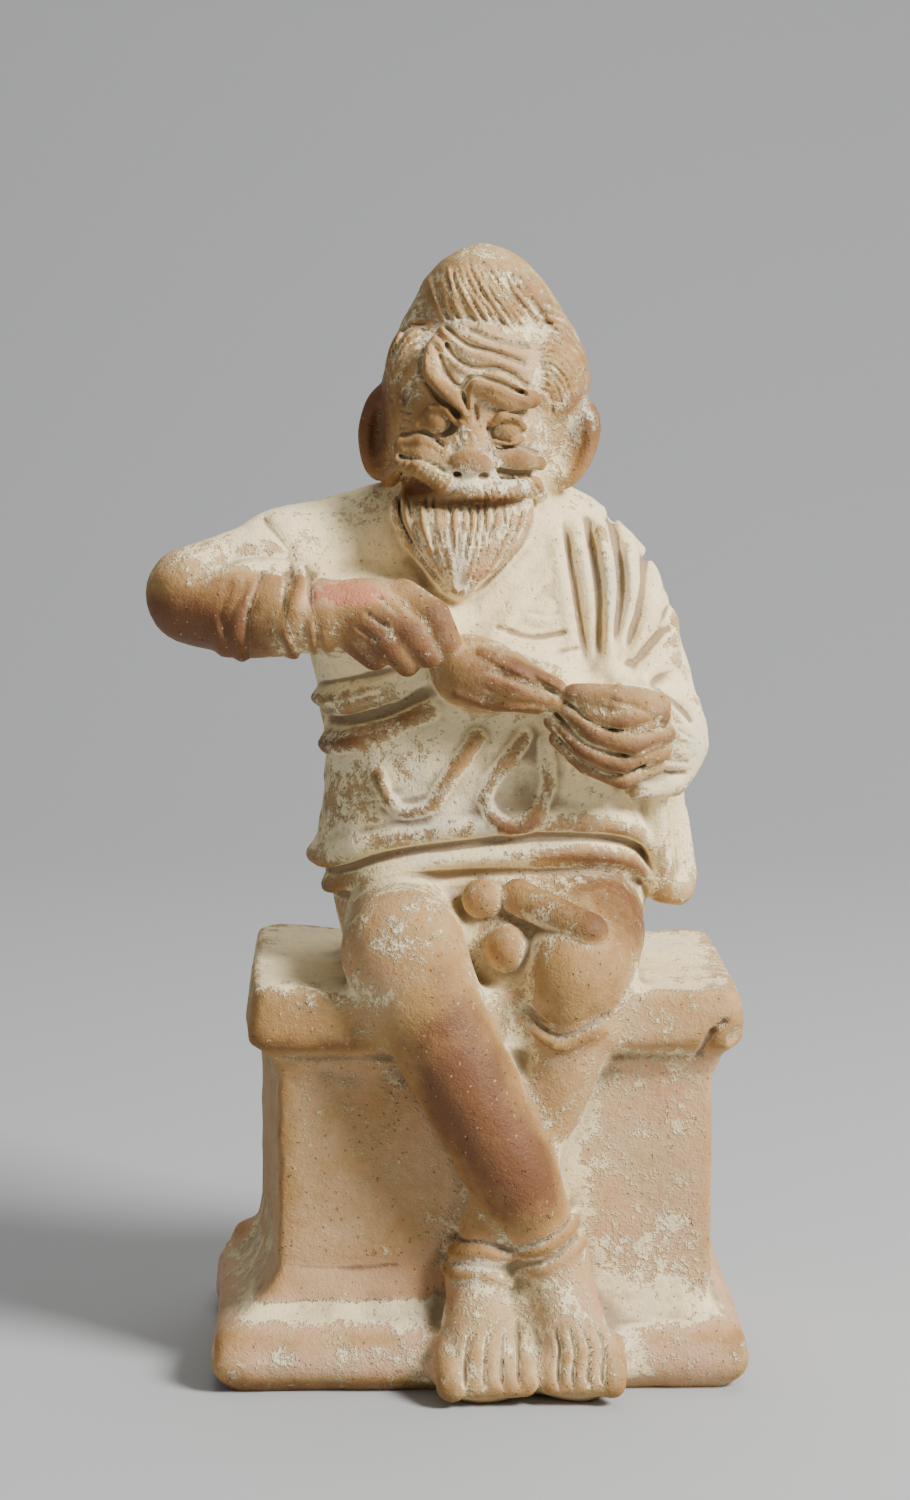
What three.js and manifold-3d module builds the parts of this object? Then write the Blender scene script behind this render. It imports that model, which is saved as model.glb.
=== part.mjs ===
// A fired-clay statuette: a bearded comic figure sits on a small altar, ankles crossed,
// and draws coins out of a purse. Figure and altar were pressed in one mould, so they are one solid.
// Millimetres, +Z up, the figure faces -Y, and the origin is the centre of the altar's underside.
import * as THREE from "three";
import { edgeTable, triTable } from "three/addons/objects/MarchingCubes.js";
import { mergeVertices } from "three/addons/utils/BufferGeometryUtils.js";
import Module from "manifold-3d";

// Driving dimensions
const FIGURE_HEIGHT = 113; // seat to crown
const ALTAR_HEIGHT = 62; // underside to seat
const ALTAR_WIDTH = 67; // the die, between its mouldings
const ALTAR_DEPTH = 44;
const PLINTH_HEIGHT = 10.5;
const PLINTH_OVERHANG = 8.2;
const PLINTH_SWEEP = 8; // height of the hollow curve from plinth to die
const SLAB_HEIGHT = 9.8;
const SLAB_OVERHANG = 4.3;
const SLAB_TILT = 1.2; // the slab's right end is thicker
const FILLET_HEIGHT = 3.4; // narrow band under the slab
const FILLET_OVERHANG = 1.1;
const ALTAR_SHIFT = 1.2; // the die and slab stand this far to one side, the plinth to the other
const DIE_SPLAY = 3.6; // the die's right side runs outwards to the back
const CORNER_WEAR = 3; // how far rubbed edges are rounded

// How finely the clay is faceted
const CELL = 1.05;
const TRIANGLES = 9600;

// The figure is drawn once at these levels, and is stretched to the altar it sits on.
const DRAWN = { seat: 62, crown: 175, front: -22, lap: -8 };
const figureScale = FIGURE_HEIGHT / (DRAWN.crown - DRAWN.seat);
const legScale = ALTAR_HEIGHT / DRAWN.seat;
const altarFront = -ALTAR_DEPTH / 2;
const lapFront = DRAWN.lap * figureScale;

const SPARE = 2; // clay below the underside, cut away flat at the end

const { clamp, lerp, smoothstep, degToRad } = THREE.MathUtils;

// Signed-distance helpers, negative inside the clay
function smoothMin(a, b, blend) {
  const h = Math.max(blend - Math.abs(a - b), 0) / blend;
  return Math.min(a, b) - h * h * blend * 0.25;
}

function smoothMax(a, b, blend) {
  return -smoothMin(-a, -b, blend);
}

// A value read off a list of [place, value] pairs, straight between them.
function along(pairs, at) {
  if (at <= pairs[0][0]) return pairs[0][1];
  for (let i = 1; i < pairs.length; i++) {
    const [from, before] = pairs[i - 1];
    const [to, after] = pairs[i];
    if (at <= to) return lerp(before, after, (at - from) / (to - from));
  }
  return pairs[pairs.length - 1][1];
}

// Shapes: each has a box that holds it and a distance

// A limb or roll of clay: [x, y, z, radius] stations. depth above 1 flattens it front to back.
function limb(stations, depth = 1) {
  const box = new THREE.Box3();
  for (const [x, y, z, r] of stations) {
    box.expandByPoint(new THREE.Vector3(x - r, y - r, z - r));
    box.expandByPoint(new THREE.Vector3(x + r, y + r, z + r));
  }
  function distance(x, y, z) {
    let nearest = Infinity;
    for (let i = 1; i < stations.length; i++) {
      const [ax, ay, az, ar] = stations[i - 1];
      const [bx, by, bz, br] = stations[i];
      const [ex, ey, ez] = [bx - ax, by - ay, bz - az];
      const [px, py, pz] = [x - ax, y - ay, z - az];
      const t = clamp((px * ex + py * ey + pz * ez) / (ex * ex + ey * ey + ez * ez), 0, 1);
      const away = Math.hypot(px - t * ex, (py - t * ey) * depth, pz - t * ez) - lerp(ar, br, t);
      nearest = Math.min(nearest, away);
    }
    return nearest;
  }
  return { box, distance };
}

// An ellipsoid of three radii, turned by degrees about X, Y and Z.
function ovoid([cx, cy, cz], [rx, ry, rz], turn = [0, 0, 0]) {
  const reach = Math.max(rx, ry, rz);
  const centre = new THREE.Vector3(cx, cy, cz);
  const box = new THREE.Box3(
    centre.clone().subScalar(reach),
    centre.clone().addScalar(reach),
  );
  const euler = new THREE.Euler(...turn.map(degToRad));
  const m = new THREE.Matrix4().makeRotationFromEuler(euler).invert().elements;
  function distance(x, y, z) {
    const [dx, dy, dz] = [x - cx, y - cy, z - cz];
    const u = m[0] * dx + m[4] * dy + m[8] * dz;
    const v = m[1] * dx + m[5] * dy + m[9] * dz;
    const w = m[2] * dx + m[6] * dy + m[10] * dz;
    const k = Math.hypot(u / rx, v / ry, w / rz);
    const g = Math.hypot(u / (rx * rx), v / (ry * ry), w / (rz * rz));
    return g > 0 ? (k * (k - 1)) / g : -Math.min(rx, ry, rz);
  }
  return { box, distance };
}

// A trunk: at each height z, a rounded section from left to right and from front to back.
function trunk(rows, squareness) {
  const pick = (column) => rows.map((row) => [row[0], row[column]]);
  const [left, right, front, back] = [1, 2, 3, 4].map(pick);
  const [low, high] = [rows[0][0], rows[rows.length - 1][0]];
  const side = (pairs, of) => of(...pairs.map(([, value]) => value));
  const box = new THREE.Box3(
    new THREE.Vector3(side(left, Math.min), side(front, Math.min), low),
    new THREE.Vector3(side(right, Math.max), side(back, Math.max), high),
  );
  function distance(x, y, z) {
    const [l, r, f, b] = [left, right, front, back].map((pairs) => along(pairs, z));
    const [halfWidth, halfDepth] = [(r - l) / 2, (b - f) / 2];
    const u = Math.abs(x - (l + r) / 2) / halfWidth;
    const v = Math.abs(y - (f + b) / 2) / halfDepth;
    const k = (u ** squareness + v ** squareness) ** (1 / squareness);
    const round = (k - 1) * Math.min(halfWidth, halfDepth);
    return smoothMax(round, Math.abs(z - (low + high) / 2) - (high - low) / 2, 4);
  }
  return { box, distance };
}

// A fold or crease drawn as [x, z] on the front of the figure. A positive height raises it.
function stroke(path, width, height, behind = 0) {
  const curve = new THREE.SplineCurve(path.map(([x, z]) => new THREE.Vector2(x, z)));
  const points = curve.getPoints(path.length * 4);
  const flat = new THREE.Box2().setFromPoints(points).expandByScalar(width);
  const box = new THREE.Box3(
    new THREE.Vector3(flat.min.x, -60, flat.min.y),
    new THREE.Vector3(flat.max.x, behind, flat.max.y),
  );
  function relief(x, y, z) {
    let nearest = width;
    for (let i = 1; i < points.length; i++) {
      const [a, b] = [points[i - 1], points[i]];
      const [ex, ez] = [b.x - a.x, b.y - a.y];
      const t = clamp(((x - a.x) * ex + (z - a.y) * ez) / (ex * ex + ez * ez), 0, 1);
      nearest = Math.min(nearest, Math.hypot(x - a.x - t * ex, z - a.y - t * ez));
    }
    const share = 1 - (nearest / width) ** 2;
    return -height * share * share * (1 - smoothstep(y, behind - 3, behind));
  }
  return { box, relief };
}

// The clay so far: what is added, cut away or pressed in, in the order it is worked
const worked = [];
const figureBox = new THREE.Box3();

function add(shape, blend = 1.5) {
  const reach = blend + 2;
  figureBox.union(shape.box);
  worked.push({
    box: shape.box.clone().expandByScalar(reach),
    work: (d, x, y, z) => smoothMin(d, shape.distance(x, y, z), blend),
  });
}

function cut(shape, blend = 1) {
  const reach = blend + 2;
  worked.push({
    box: shape.box.clone().expandByScalar(reach),
    work: (d, x, y, z) => smoothMax(d, -shape.distance(x, y, z), blend),
  });
}

function press(fold) {
  worked.push({ box: fold.box, work: (d, x, y, z) => d + fold.relief(x, y, z) });
}

// Body under the tunic: height, left, right, front, back
function makeTrunk() {
  add(
    trunk(
      [
        [58, -20, 22, -10, 17],
        [66, -22.5, 25, -12, 18.5],
        [74, -24, 26, -14, 18.5],
        [80, -26.4, 26.4, -16.4, 18],
        [88, -25.6, 26.8, -17, 16.5],
        [96, -24.6, 27, -17, 15],
        [104, -25.6, 27, -15.6, 15],
        [112, -27.4, 25, -13, 15.5],
        [120, -27.6, 24, -11, 15.5],
        [128, -25, 21, -8.5, 14],
        [133, -20, 18.6, -6.5, 12],
        [138, -14, 13, -5, 8],
      ],
      2.5,
    ),
  );
}

function makeShoulders() {
  add(limb([[-6, 1, 131, 7.5], [-22, 1, 128.2, 8], [-31, -2, 126, 8]]), 5);
  add(limb([[6, 1, 131, 7.5], [13, 1, 127.6, 7.6], [18, 1, 122, 8]]), 5);
  add(limb([[0, 1, 126, 10], [0, 0, 146, 10]]), 4);
}

// The raised right arm, folded hard at the elbow, with the sleeve's rings at forearm and wrist
function makeRightArm() {
  add(limb([[-30, -3, 126, 7.8], [-38, -6, 124, 7.4], [-45.4, -9, 122.4, 6.4]]), 3);
  add(limb([[-45.2, -10, 121, 6.6], [-37, -13.5, 118.8, 6.5], [-26, -17, 119.2, 5.8]]), 2);
  press(stroke([[-40.4, 113], [-41, 118], [-38.6, 124]], 1.6, 0.5, 2));
  press(stroke([[-37.6, 112], [-38.4, 118], [-36, 124]], 1.4, 0.5, 2));
  press(stroke([[-29.6, 113], [-30.6, 119], [-28.6, 125]], 1.5, 0.6, 2));
  press(stroke([[-27.4, 113], [-28, 119], [-26.4, 125]], 1.3, -0.5, 2));
}

function makeRightHand() {
  add(ovoid([-17, -9.5, 117.6], [14, 9, 7]), 3);
  add(ovoid([-17.5, -19, 119.8], [8.2, 4.6, 5.2], [0, 14, 0]), 2);
  const fingers = [
    [[-12.8, -19.8, 122.6, 2.4], [-8.2, -21.8, 119.8, 2.3], [-6.2, -22, 115.6, 2]],
    [[-15.4, -20.8, 120.2, 2.4], [-11.6, -22.6, 117.2, 2.3], [-9.2, -22.4, 113.6, 2]],
    [[-17.8, -20.8, 118, 2.4], [-14.6, -22.2, 115, 2.2], [-12.2, -21.8, 112.2, 1.9]],
    [[-19.8, -19.8, 115.8, 2.3], [-17.2, -20.8, 113.2, 2]],
  ];
  for (const finger of fingers) add(limb(finger), 1);
}

// The left arm comes down inside the mantle and turns in at the elbow.
function makeLeftArm() {
  add(limb([[18, 0, 122, 8], [22.6, -1, 114.5, 7.8], [25, -3, 107, 7.6], [27, -5, 100, 7.4]]), 4);
  add(limb([[27.4, -6, 98, 7.2], [25.6, -13, 100, 6.4], [24.4, -17, 101.6, 5.6]]), 3);
}

// The purse: a soft bag that flares at its mouth and is gathered where the left hand grips it
function makePurse() {
  add(ovoid([3, -12, 108.6], [12, 8, 6]), 3);
  add(ovoid([-1, -17.6, 110.2], [8.2, 6, 5.8], [0, 16, 0]), 2);
  add(limb([[-3.4, -19.6, 111, 4.8], [3.4, -21.2, 109.2, 4.2], [9.8, -22, 107.2, 2.8]]), 1.5);
  press(stroke([[-1, 114.4], [4.4, 112.2], [10.6, 109.2]], 1.2, 0.6, -14));
  press(stroke([[1, 111.6], [6, 109.6], [10.6, 107.8]], 1, -0.7, -14));
  press(stroke([[-5, 107.6], [1, 105.8], [7.4, 105.4]], 1.2, 0.5, -14));
}

function makeLeftHand() {
  add(ovoid([18, -13, 102], [10, 9, 7]), 3);
  add(ovoid([19.4, -19.6, 102.2], [8.8, 6, 6.6], [0, -8, 0]), 1.5);
  add(limb([[13, -24, 107.8, 1.7], [19, -25.2, 107.2, 2.2], [25.4, -22, 105.6, 2.4]]), 1);
  add(limb([[15.4, -24.6, 105.4, 1.6], [20.4, -25.4, 103.8, 2.2], [25.6, -23, 104.4, 2.2]]), 0.6);
  add(
    limb([
      [11.2, -23, 106, 1.5], [16, -25.4, 102.2, 2], [22, -25.2, 100, 2.2],
      [26.8, -21.6, 101.4, 2],
    ]),
    0.6,
  );
  add(
    limb([
      [9.8, -22, 103.6, 1.5], [14.4, -24.6, 99.8, 2], [20.4, -24.4, 97.2, 2.1],
      [26.4, -20.4, 98.8, 2],
    ]),
    0.6,
  );
  add(
    limb([
      [10.6, -20.6, 100.6, 1.4], [15, -22.6, 97, 1.8], [20.6, -22.4, 94.8, 1.9],
      [25.6, -18.6, 96.4, 1.8],
    ]),
    0.6,
  );
}

// A tall egg of a head, tipped down towards the purse, with hair piled over the forehead
function makeHead() {
  add(
    trunk(
      [
        [137, -12, 11, -9, 8],
        [143, -14.6, 14.6, -10.5, 12],
        [148, -15.4, 16.2, -11, 14.5],
        [154, -15.8, 17, -11.4, 15.2],
        [157.4, -15, 16.4, -11, 14.8],
        [160.5, -13.9, 15.3, -10.6, 14],
        [163.6, -12.6, 13.6, -10, 13],
        [166.7, -10.8, 11.5, -9.4, 11.5],
        [169.8, -9.2, 9.3, -8.4, 9.5],
        [172.9, -6.4, 6.3, -6.4, 6.4],
        [175.6, -3, 3, -4, 3],
      ],
      2.15,
    ),
    3,
  );
  add(ovoid([1, -5.4, 166.4], [9.6, 6.6, 6.4], [0, 10, 0]), 2);
  add(ovoid([-10.8, -5.6, 156], [4.4, 5.4, 7.2]), 2.5);
  add(ovoid([-12.4, -5.2, 149], [3.2, 5, 6]), 2);
  add(ovoid([10.6, -6, 155.4], [5, 5.4, 7]), 2.5);
  add(ovoid([-2.6, -7.6, 144.6], [11.8, 9, 10.6]), 2);
  add(ovoid([-0.9, -8, 155.8], [9.2, 7.4, 8.4]), 1.5);
  add(ovoid([-16.1, -1.6, 146.2], [3.2, 2.6, 7.2], [0, 4, 0]), 1.5);
  cut(ovoid([-16.5, -4.4, 146.2], [1.5, 1.8, 4.6], [0, 4, 0]), 1);
  add(ovoid([13.6, -4.8, 144.4], [4.1, 3.2, 7.6], [0, 18, 0]), 1.5);
  cut(ovoid([13.2, -8.2, 144], [2.3, 2.2, 5], [0, 18, 0]), 1);
}

// The comic mask: knotted brow, round eyes, snub nose, full moustache and a wide mouth
function makeFace() {
  add(ovoid([-1.8, -10.8, 150.8], [7.4, 5, 5.6]), 2);
  add(ovoid([-5.4, -12.4, 150], [3, 2.8, 2.6]), 1.5);
  add(
    limb([
      [-6.4, -13.2, 161.8, 1.3], [-8.6, -13, 158.8, 1.5], [-8.2, -14, 155.2, 1.7],
      [-5.8, -15.2, 152.4, 1.6], [-3.2, -16, 150.2, 1.3],
    ]),
    1,
  );
  add(
    limb([
      [-2.2, -15.8, 151.8, 1.1], [-1.6, -16.2, 154, 1.2], [1, -16.4, 153.1, 1.3],
      [3.6, -15.8, 151.6, 1.4], [7, -14, 152, 1.2],
    ]),
    1,
  );
  for (const [x, y, z] of [[-7.4, -13.2, 148.6], [3.2, -13.8, 147.4]]) {
    cut(ovoid([x, y - 1.8, z], [3.3, 2.2, 2.6]), 1);
    add(ovoid([x, y, z], [2.3, 2.3, 2.1]), 0.4);
  }
  add(limb([[-2.4, -14.4, 147.8, 2], [-2.4, -15.6, 144.8, 2.4]]), 1);
  add(ovoid([-2.6, -17.6, 142.4], [3.3, 3, 2.3]), 0.6);
  add(limb([[-5.6, -16.6, 141.8, 1.6], [0.4, -16.6, 141.4, 1.6]]), 0.6);
  add(limb([[-12.6, -11.8, 144.6, 1.8], [-9.4, -14, 144.6, 2.2], [-6.4, -15.8, 143.2, 1.6]]), 0.8);
  add(limb([[1.4, -15.8, 143.4, 1.3], [4.6, -15, 143, 1.8], [8, -12, 142, 1.5]]), 0.8);
  const moustache = [
    [
      [-2.8, -17.4, 138.9, 1.9], [-6.6, -17.4, 140, 2], [-10, -15.8, 141.8, 1.9],
      [-13, -12.6, 142.2, 1.7], [-14.8, -9, 139.6, 1.4],
    ],
    [
      [-2.8, -17.4, 138.9, 1.9], [0.6, -17.4, 138.3, 2.1], [4, -16, 138.3, 2],
      [7.2, -13, 138.9, 1.7], [8.6, -9.4, 137, 1.3],
    ],
  ];
  for (const side of moustache) add(limb(side), 0.8);
  const mouth = [
    [-12.8, -12.4, 139.2, 1.7], [-9.8, -15, 138.2, 1.9], [-6, -16.8, 136.9, 1.3],
    [-1, -17.8, 136.1, 0.8], [6, -15.8, 136.2, 0.7],
  ];
  cut(limb(mouth), 0.6);
}

// A wedge of beard, strands gathered to a point on the chest
function makeBeard() {
  const rows = [
    [120.6, -5, -2.6, -15.6, -8],
    [122.7, -7.4, -0.8, -17, -6],
    [125.8, -9.8, 2.6, -18, -4],
    [129.6, -13, 6, -18.4, -4],
    [133.4, -14.8, 8.2, -18, -4],
    [138.4, -15, 9, -16.4, -4],
  ];
  add(trunk(rows, 2.3), 2);
  const lips = [
    [-12.8, -12.4, 139, 1.5], [-9.5, -15.6, 137.6, 1.4], [-5, -17.6, 136.6, 1.1],
    [2, -17.6, 136, 1.1], [7.8, -13.6, 136.8, 1],
  ];
  cut(limb(lips), 0.8);
}

// Folds of the mantle fan down from the left shoulder and meet above the left wrist.
function foldMantle() {
  const fans = [
    [[14.4, 131], [17, 121], [18.4, 109.6]],
    [[18, 130.4], [20, 121], [19.2, 109.6]],
    [[21.8, 128], [23.4, 120], [20.2, 109.6]],
    [[26, 123.6], [25.4, 117], [21, 109.4]],
    [[30, 117], [27, 112.4], [22.6, 108.8]],
  ];
  for (const fan of fans) press(stroke(fan, 2.6, 1, 4));
  add(limb([[31, -9, 104, 2.6], [32, -9, 98, 2.8], [29, -10, 92.6, 2.6], [23, -14, 92, 2]]), 1.5);
  add(limb([[28.4, 0, 92, 3.4], [29.6, 1, 84, 3.2], [30.4, 1, 75.4, 3.8]], 1.2), 1.5);
  add(
    limb([
      [27, -8, 90, 1.8], [27.4, -6, 82, 2], [28.4, -3, 74.4, 2.6], [31, -1, 73.4, 2.4],
    ]),
    1.5,
  );
}

// The tunic bulges over its girdle and ends in two rolled hems.
function foldTunic() {
  press(stroke([[-27.6, 100.4], [-16.4, 103.4], [-8.4, 107.6]], 1.7, -1.3, 0));
  press(stroke([[-28, 104.4], [-17.4, 107], [-9.4, 111.4]], 2, 0.8, 0));
  press(stroke([[-27.4, 96.8], [-18.4, 100], [-8.6, 104.2]], 2.2, 0.8, 0));
  press(
    stroke([
      [-28, 79], [-15.7, 84], [-4.6, 86], [7.4, 87.2], [17.2, 86.7], [24, 84.6], [28, 80],
    ], 2.8, 1, 4),
  );
  press(
    stroke([
      [-27, 76.2], [-15.7, 81.5], [-4.6, 83.5], [7.4, 84.7], [17.2, 84.2], [23.1, 82.2],
      [27.8, 77],
    ], 1.3, -1, 4),
  );
  press(
    stroke([
      [-26, 73.8], [-15.7, 79.2], [-4.6, 81.2], [7.4, 82], [17.2, 81.4], [24, 79], [28, 73],
    ], 1.8, 1, 4),
  );
  press(
    stroke([
      [-26, 71.4], [-15.7, 76.8], [-4.6, 78.8], [7.4, 79.2], [17.2, 78.4], [24, 75.6],
    ], 1.2, -0.8, 4),
  );
  press(
    stroke([
      [-16.6, 94], [-15.2, 90.6], [-12.6, 88.7], [-8.8, 89.8], [-5.4, 94.6], [-1.4, 100.3],
    ], 1.9, 1.1, -8),
  );
  press(
    stroke([
      [8.9, 99.3], [9.4, 93.1], [7.5, 88], [4.3, 85.8], [0.8, 88.5], [0.1, 92.4],
      [6, 100.4],
    ], 1.9, 1.1, -8),
  );
}

// Padded tights on the crossed legs, gathered in rings at knee and ankle
function makeLegs() {
  add(limb([[-11, 0, 72, 10], [-13, -16, 69.6, 9.2], [-13.2, -23.6, 68.6, 9.2]]), 2);
  add(limb([[15, 0, 71, 10], [15.6, -12, 69, 9.6], [14, -22.6, 65.6, 8.2]]), 2);
  add(
    limb([
      [13.8, -23, 64, 8], [12.9, -23.4, 57, 7.2], [10.6, -23.6, 48, 5.8],
      [7, -23.4, 38, 4.8], [2, -24.4, 28, 4.6], [-1.2, -25.4, 18, 4.8],
    ]),
    2,
  );
  add(
    limb([
      [-12.8, -24.4, 68, 9.2], [-8, -26.6, 57.6, 8.3], [-2.4, -27.4, 46.7, 7.8],
      [2.6, -27.4, 36.6, 7.2], [6.6, -27, 28.4, 6.2], [10.4, -26.4, 20.6, 4.9],
    ]),
    2,
  );
  add(limb([[4, -16, 67, 6.4], [5.4, -18.4, 56, 6.4], [4.6, -19, 32, 5.6], [4.4, -20, 10, 5]]), 3);
  add(ovoid([12.8, -26.4, 64.4], [6.4, 5.4, 6.4]), 0.6);
  press(stroke([[5.2, 59.8], [10.8, 56.4], [17.6, 59.2]], 1.4, -0.7, -16));
  press(stroke([[5.2, 57.6], [10.6, 54.2], [17, 56.4]], 1.6, 0.6, -16));
  press(stroke([[4.6, 22], [9.6, 24], [14.6, 27.4]], 1.2, 0.9, -16));
  press(stroke([[4.6, 18.4], [9.6, 20.2], [15, 23.6]], 1.2, 0.9, -16));
  press(stroke([[-7, 18.4], [-1.4, 19], [3.6, 17.2]], 1.3, 0.9, -16));
  press(stroke([[-6.6, 21.4], [-1.2, 22.5], [3.4, 21.2]], 1.2, 0.8, -16));
}

// A bare foot seen from above and in front, with its toes side by side
function makeFoot(ankle, ball, toes) {
  const instep = [lerp(ankle[0], ball[0], 0.5), -28.6, 10.6, 5.8];
  add(limb([[...ankle, 4.8], instep, [...ball, 5.8]]), 2);
  add(ovoid([ball[0], -31.6, 4.4], [7.6, 5.2, 4.6]), 2);
  for (const [x, r] of toes)
    add(limb([[x, -30.4, 8, r], [x, -34.2, 5.6, r + 0.2], [x + 0.1, -36.2, 3.4, r]]), 1);
}

function makeFeet() {
  const left = [[-6, 2.3], [-2.5, 1.7], [0.4, 1.6], [3, 1.5], [5.3, 1.4]];
  const right = [[9.2, 1.4], [11.4, 1.5], [13.7, 1.6], [16, 1.7], [18.4, 2.2]];
  makeFoot([-1.2, -25.4, 18], [-1.6, -31, 6], left);
  makeFoot([10.6, -26.4, 20], [13.6, -31, 6], right);
  add(limb([[5.6, -23.6, 20, 4], [6.4, -26.4, 10, 4.4], [7.2, -29.4, 4.4, 4]]), 1.5);
}

// The comic costume's padding, rolled up in the lap
function makeLap() {
  add(ovoid([4, -9, 69], [14, 13, 8.6]), 3);
  add(ovoid([-0.6, -19, 75.6], [3.3, 3.6, 3]), 0.6);
  add(ovoid([2.8, -22.4, 68.4], [3.3, 4, 3.6]), 0.6);
  add(limb([[4.8, -20.2, 76, 2.6], [10.2, -24.2, 74, 2.6], [15.4, -27.4, 72, 2.6]]), 0.5);
}

makeTrunk();
makeShoulders();
foldTunic();
makeLegs();
makeFeet();
makeLap();
makeLeftArm();
foldMantle();
makeRightArm();
makePurse();
makeRightHand();
makeLeftHand();
makeHead();
makeBeard();
makeFace();

// The altar: how far each level of it stands out from the die
const slabBottom = ALTAR_HEIGHT - SLAB_HEIGHT;
const overhang = [
  [0, PLINTH_OVERHANG - CORNER_WEAR],
  [PLINTH_HEIGHT * 0.15, PLINTH_OVERHANG - CORNER_WEAR * 0.35],
  [PLINTH_HEIGHT * 0.4, PLINTH_OVERHANG],
  [PLINTH_HEIGHT * 0.85, PLINTH_OVERHANG - 1],
  [PLINTH_HEIGHT, PLINTH_OVERHANG * 0.5],
  [PLINTH_HEIGHT + PLINTH_SWEEP * 0.35, 1.4],
  [PLINTH_HEIGHT + PLINTH_SWEEP, 0],
  [slabBottom - FILLET_HEIGHT, 0],
  [slabBottom - FILLET_HEIGHT * 0.6, FILLET_OVERHANG],
  [slabBottom, FILLET_OVERHANG + 0.4],
  [slabBottom + 1.2, SLAB_OVERHANG],
  [slabBottom + SLAB_HEIGHT * 0.35, SLAB_OVERHANG + 0.5],
  [ALTAR_HEIGHT, SLAB_OVERHANG - 0.4],
];

const chip = ovoid(
  [ALTAR_SHIFT + ALTAR_WIDTH / 2 + SLAB_OVERHANG, altarFront - SLAB_OVERHANG, slabBottom + 2.4],
  [2.6, 3.2, 2.2],
);

function altarDistance(x, y, z) {
  const out = along(overhang, z);
  const aboveSweep = smoothstep(z, PLINTH_HEIGHT, PLINTH_HEIGHT + PLINTH_SWEEP);
  const die = aboveSweep * (1 - smoothstep(z, slabBottom - FILLET_HEIGHT, slabBottom + 2));
  const shift = ALTAR_SHIFT * (2 * aboveSweep - 1);
  const splay = x < 0 ? DIE_SPLAY * die * clamp(y / ALTAR_DEPTH + 0.5, 0, 1) : 0;
  const sideways = Math.abs(x - shift) - ALTAR_WIDTH / 2 - out - splay;
  const outward = Math.abs(y) - ALTAR_DEPTH / 2 - out;
  const wear = CORNER_WEAR * lerp(0.4, 1, clamp(out / 3, 0, 1));
  const top = ALTAR_HEIGHT + SLAB_TILT * smoothstep(-x, ALTAR_WIDTH / 4, ALTAR_WIDTH / 2);
  const block = smoothMax(smoothMax(sideways, outward, wear), z - top, CORNER_WEAR / 2);
  return Math.max(smoothMax(block, -chip.distance(x, y, z), 1), -SPARE - z);
}

// From the altar's millimetres back to the levels at which the figure is drawn
function drawnPoint(x, y, z) {
  const level =
    z < ALTAR_HEIGHT ? z / legScale : DRAWN.seat + (z - ALTAR_HEIGHT) / figureScale;
  let depth = y / figureScale;
  if (y < altarFront) depth = DRAWN.front + (y - altarFront) / figureScale;
  else if (y < lapFront) {
    const share = (y - lapFront) / (altarFront - lapFront);
    depth = lerp(DRAWN.lap, DRAWN.front, share);
  }
  return [x / figureScale, depth, level];
}

// And from those levels to the altar's millimetres
function placedPoint({ x, y, z }) {
  const height =
    z < DRAWN.seat ? z * legScale : ALTAR_HEIGHT + (z - DRAWN.seat) * figureScale;
  let depth = y * figureScale;
  if (y < DRAWN.front) depth = altarFront + (y - DRAWN.front) * figureScale;
  else if (y < DRAWN.lap) {
    const share = (y - DRAWN.lap) / (DRAWN.front - DRAWN.lap);
    depth = lerp(lapFront, altarFront, share);
  }
  return new THREE.Vector3(x * figureScale, depth, height);
}

// Sampling: the clay's distance at every corner of a grid of cells
function gridAxis(low, high) {
  const count = Math.ceil((high - low) / CELL) + 1;
  return { low, count };
}

// The grid's room holds the altar and every shape of the figure.
const standsOut = Math.max(PLINTH_OVERHANG, SLAB_OVERHANG + 0.5, DIE_SPLAY);
const altarCorner = new THREE.Vector3(
  ALTAR_WIDTH / 2 + standsOut + ALTAR_SHIFT,
  ALTAR_DEPTH / 2 + standsOut,
  ALTAR_HEIGHT + SLAB_TILT,
);
const room = new THREE.Box3(placedPoint(figureBox.min), placedPoint(figureBox.max));
room.expandByPoint(altarCorner);
room.expandByPoint(new THREE.Vector3(-altarCorner.x, -altarCorner.y, -SPARE));
room.expandByScalar(3 * CELL);
const axes = ["x", "y", "z"].map((axis) => gridAxis(room.min[axis], room.max[axis]));
const [countX, countY, countZ] = axes.map((axis) => axis.count);
const cornerAt = (i, j, k) => i + countX * (j + countY * k);
const placeOf = (axis, i) => axes[axis].low + i * CELL;

// Samples a block of corners with only the shapes whose boxes reach it.
function sampleBlock(field, from, to) {
  const low = drawnPoint(...from.map((i, axis) => placeOf(axis, i)));
  const high = drawnPoint(...to.map((i, axis) => placeOf(axis, i)));
  const block = new THREE.Box3(new THREE.Vector3(...low), new THREE.Vector3(...high));
  const near = worked.filter((step) => step.box.intersectsBox(block));
  for (let k = from[2]; k <= to[2]; k++)
    for (let j = from[1]; j <= to[1]; j++)
      for (let i = from[0]; i <= to[0]; i++) {
        const [x, y, z] = [placeOf(0, i), placeOf(1, j), placeOf(2, k)];
        const drawn = drawnPoint(x, y, z);
        let d = CELL * 8;
        for (const step of near) d = step.work(d, ...drawn);
        const whole = smoothMin(d * figureScale, altarDistance(x, y, z), 2.5);
        field[cornerAt(i, j, k)] = whole === 0 ? 1e-6 : whole;
      }
}

function sampleClay(size = 8) {
  const field = new Float32Array(countX * countY * countZ);
  for (let k = 0; k < countZ; k += size)
    for (let j = 0; j < countY; j += size)
      for (let i = 0; i < countX; i += size) {
        const to = [i, j, k].map((at, axis) => Math.min(at + size, axes[axis].count) - 1);
        sampleBlock(field, [i, j, k], to);
      }
  return field;
}

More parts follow.
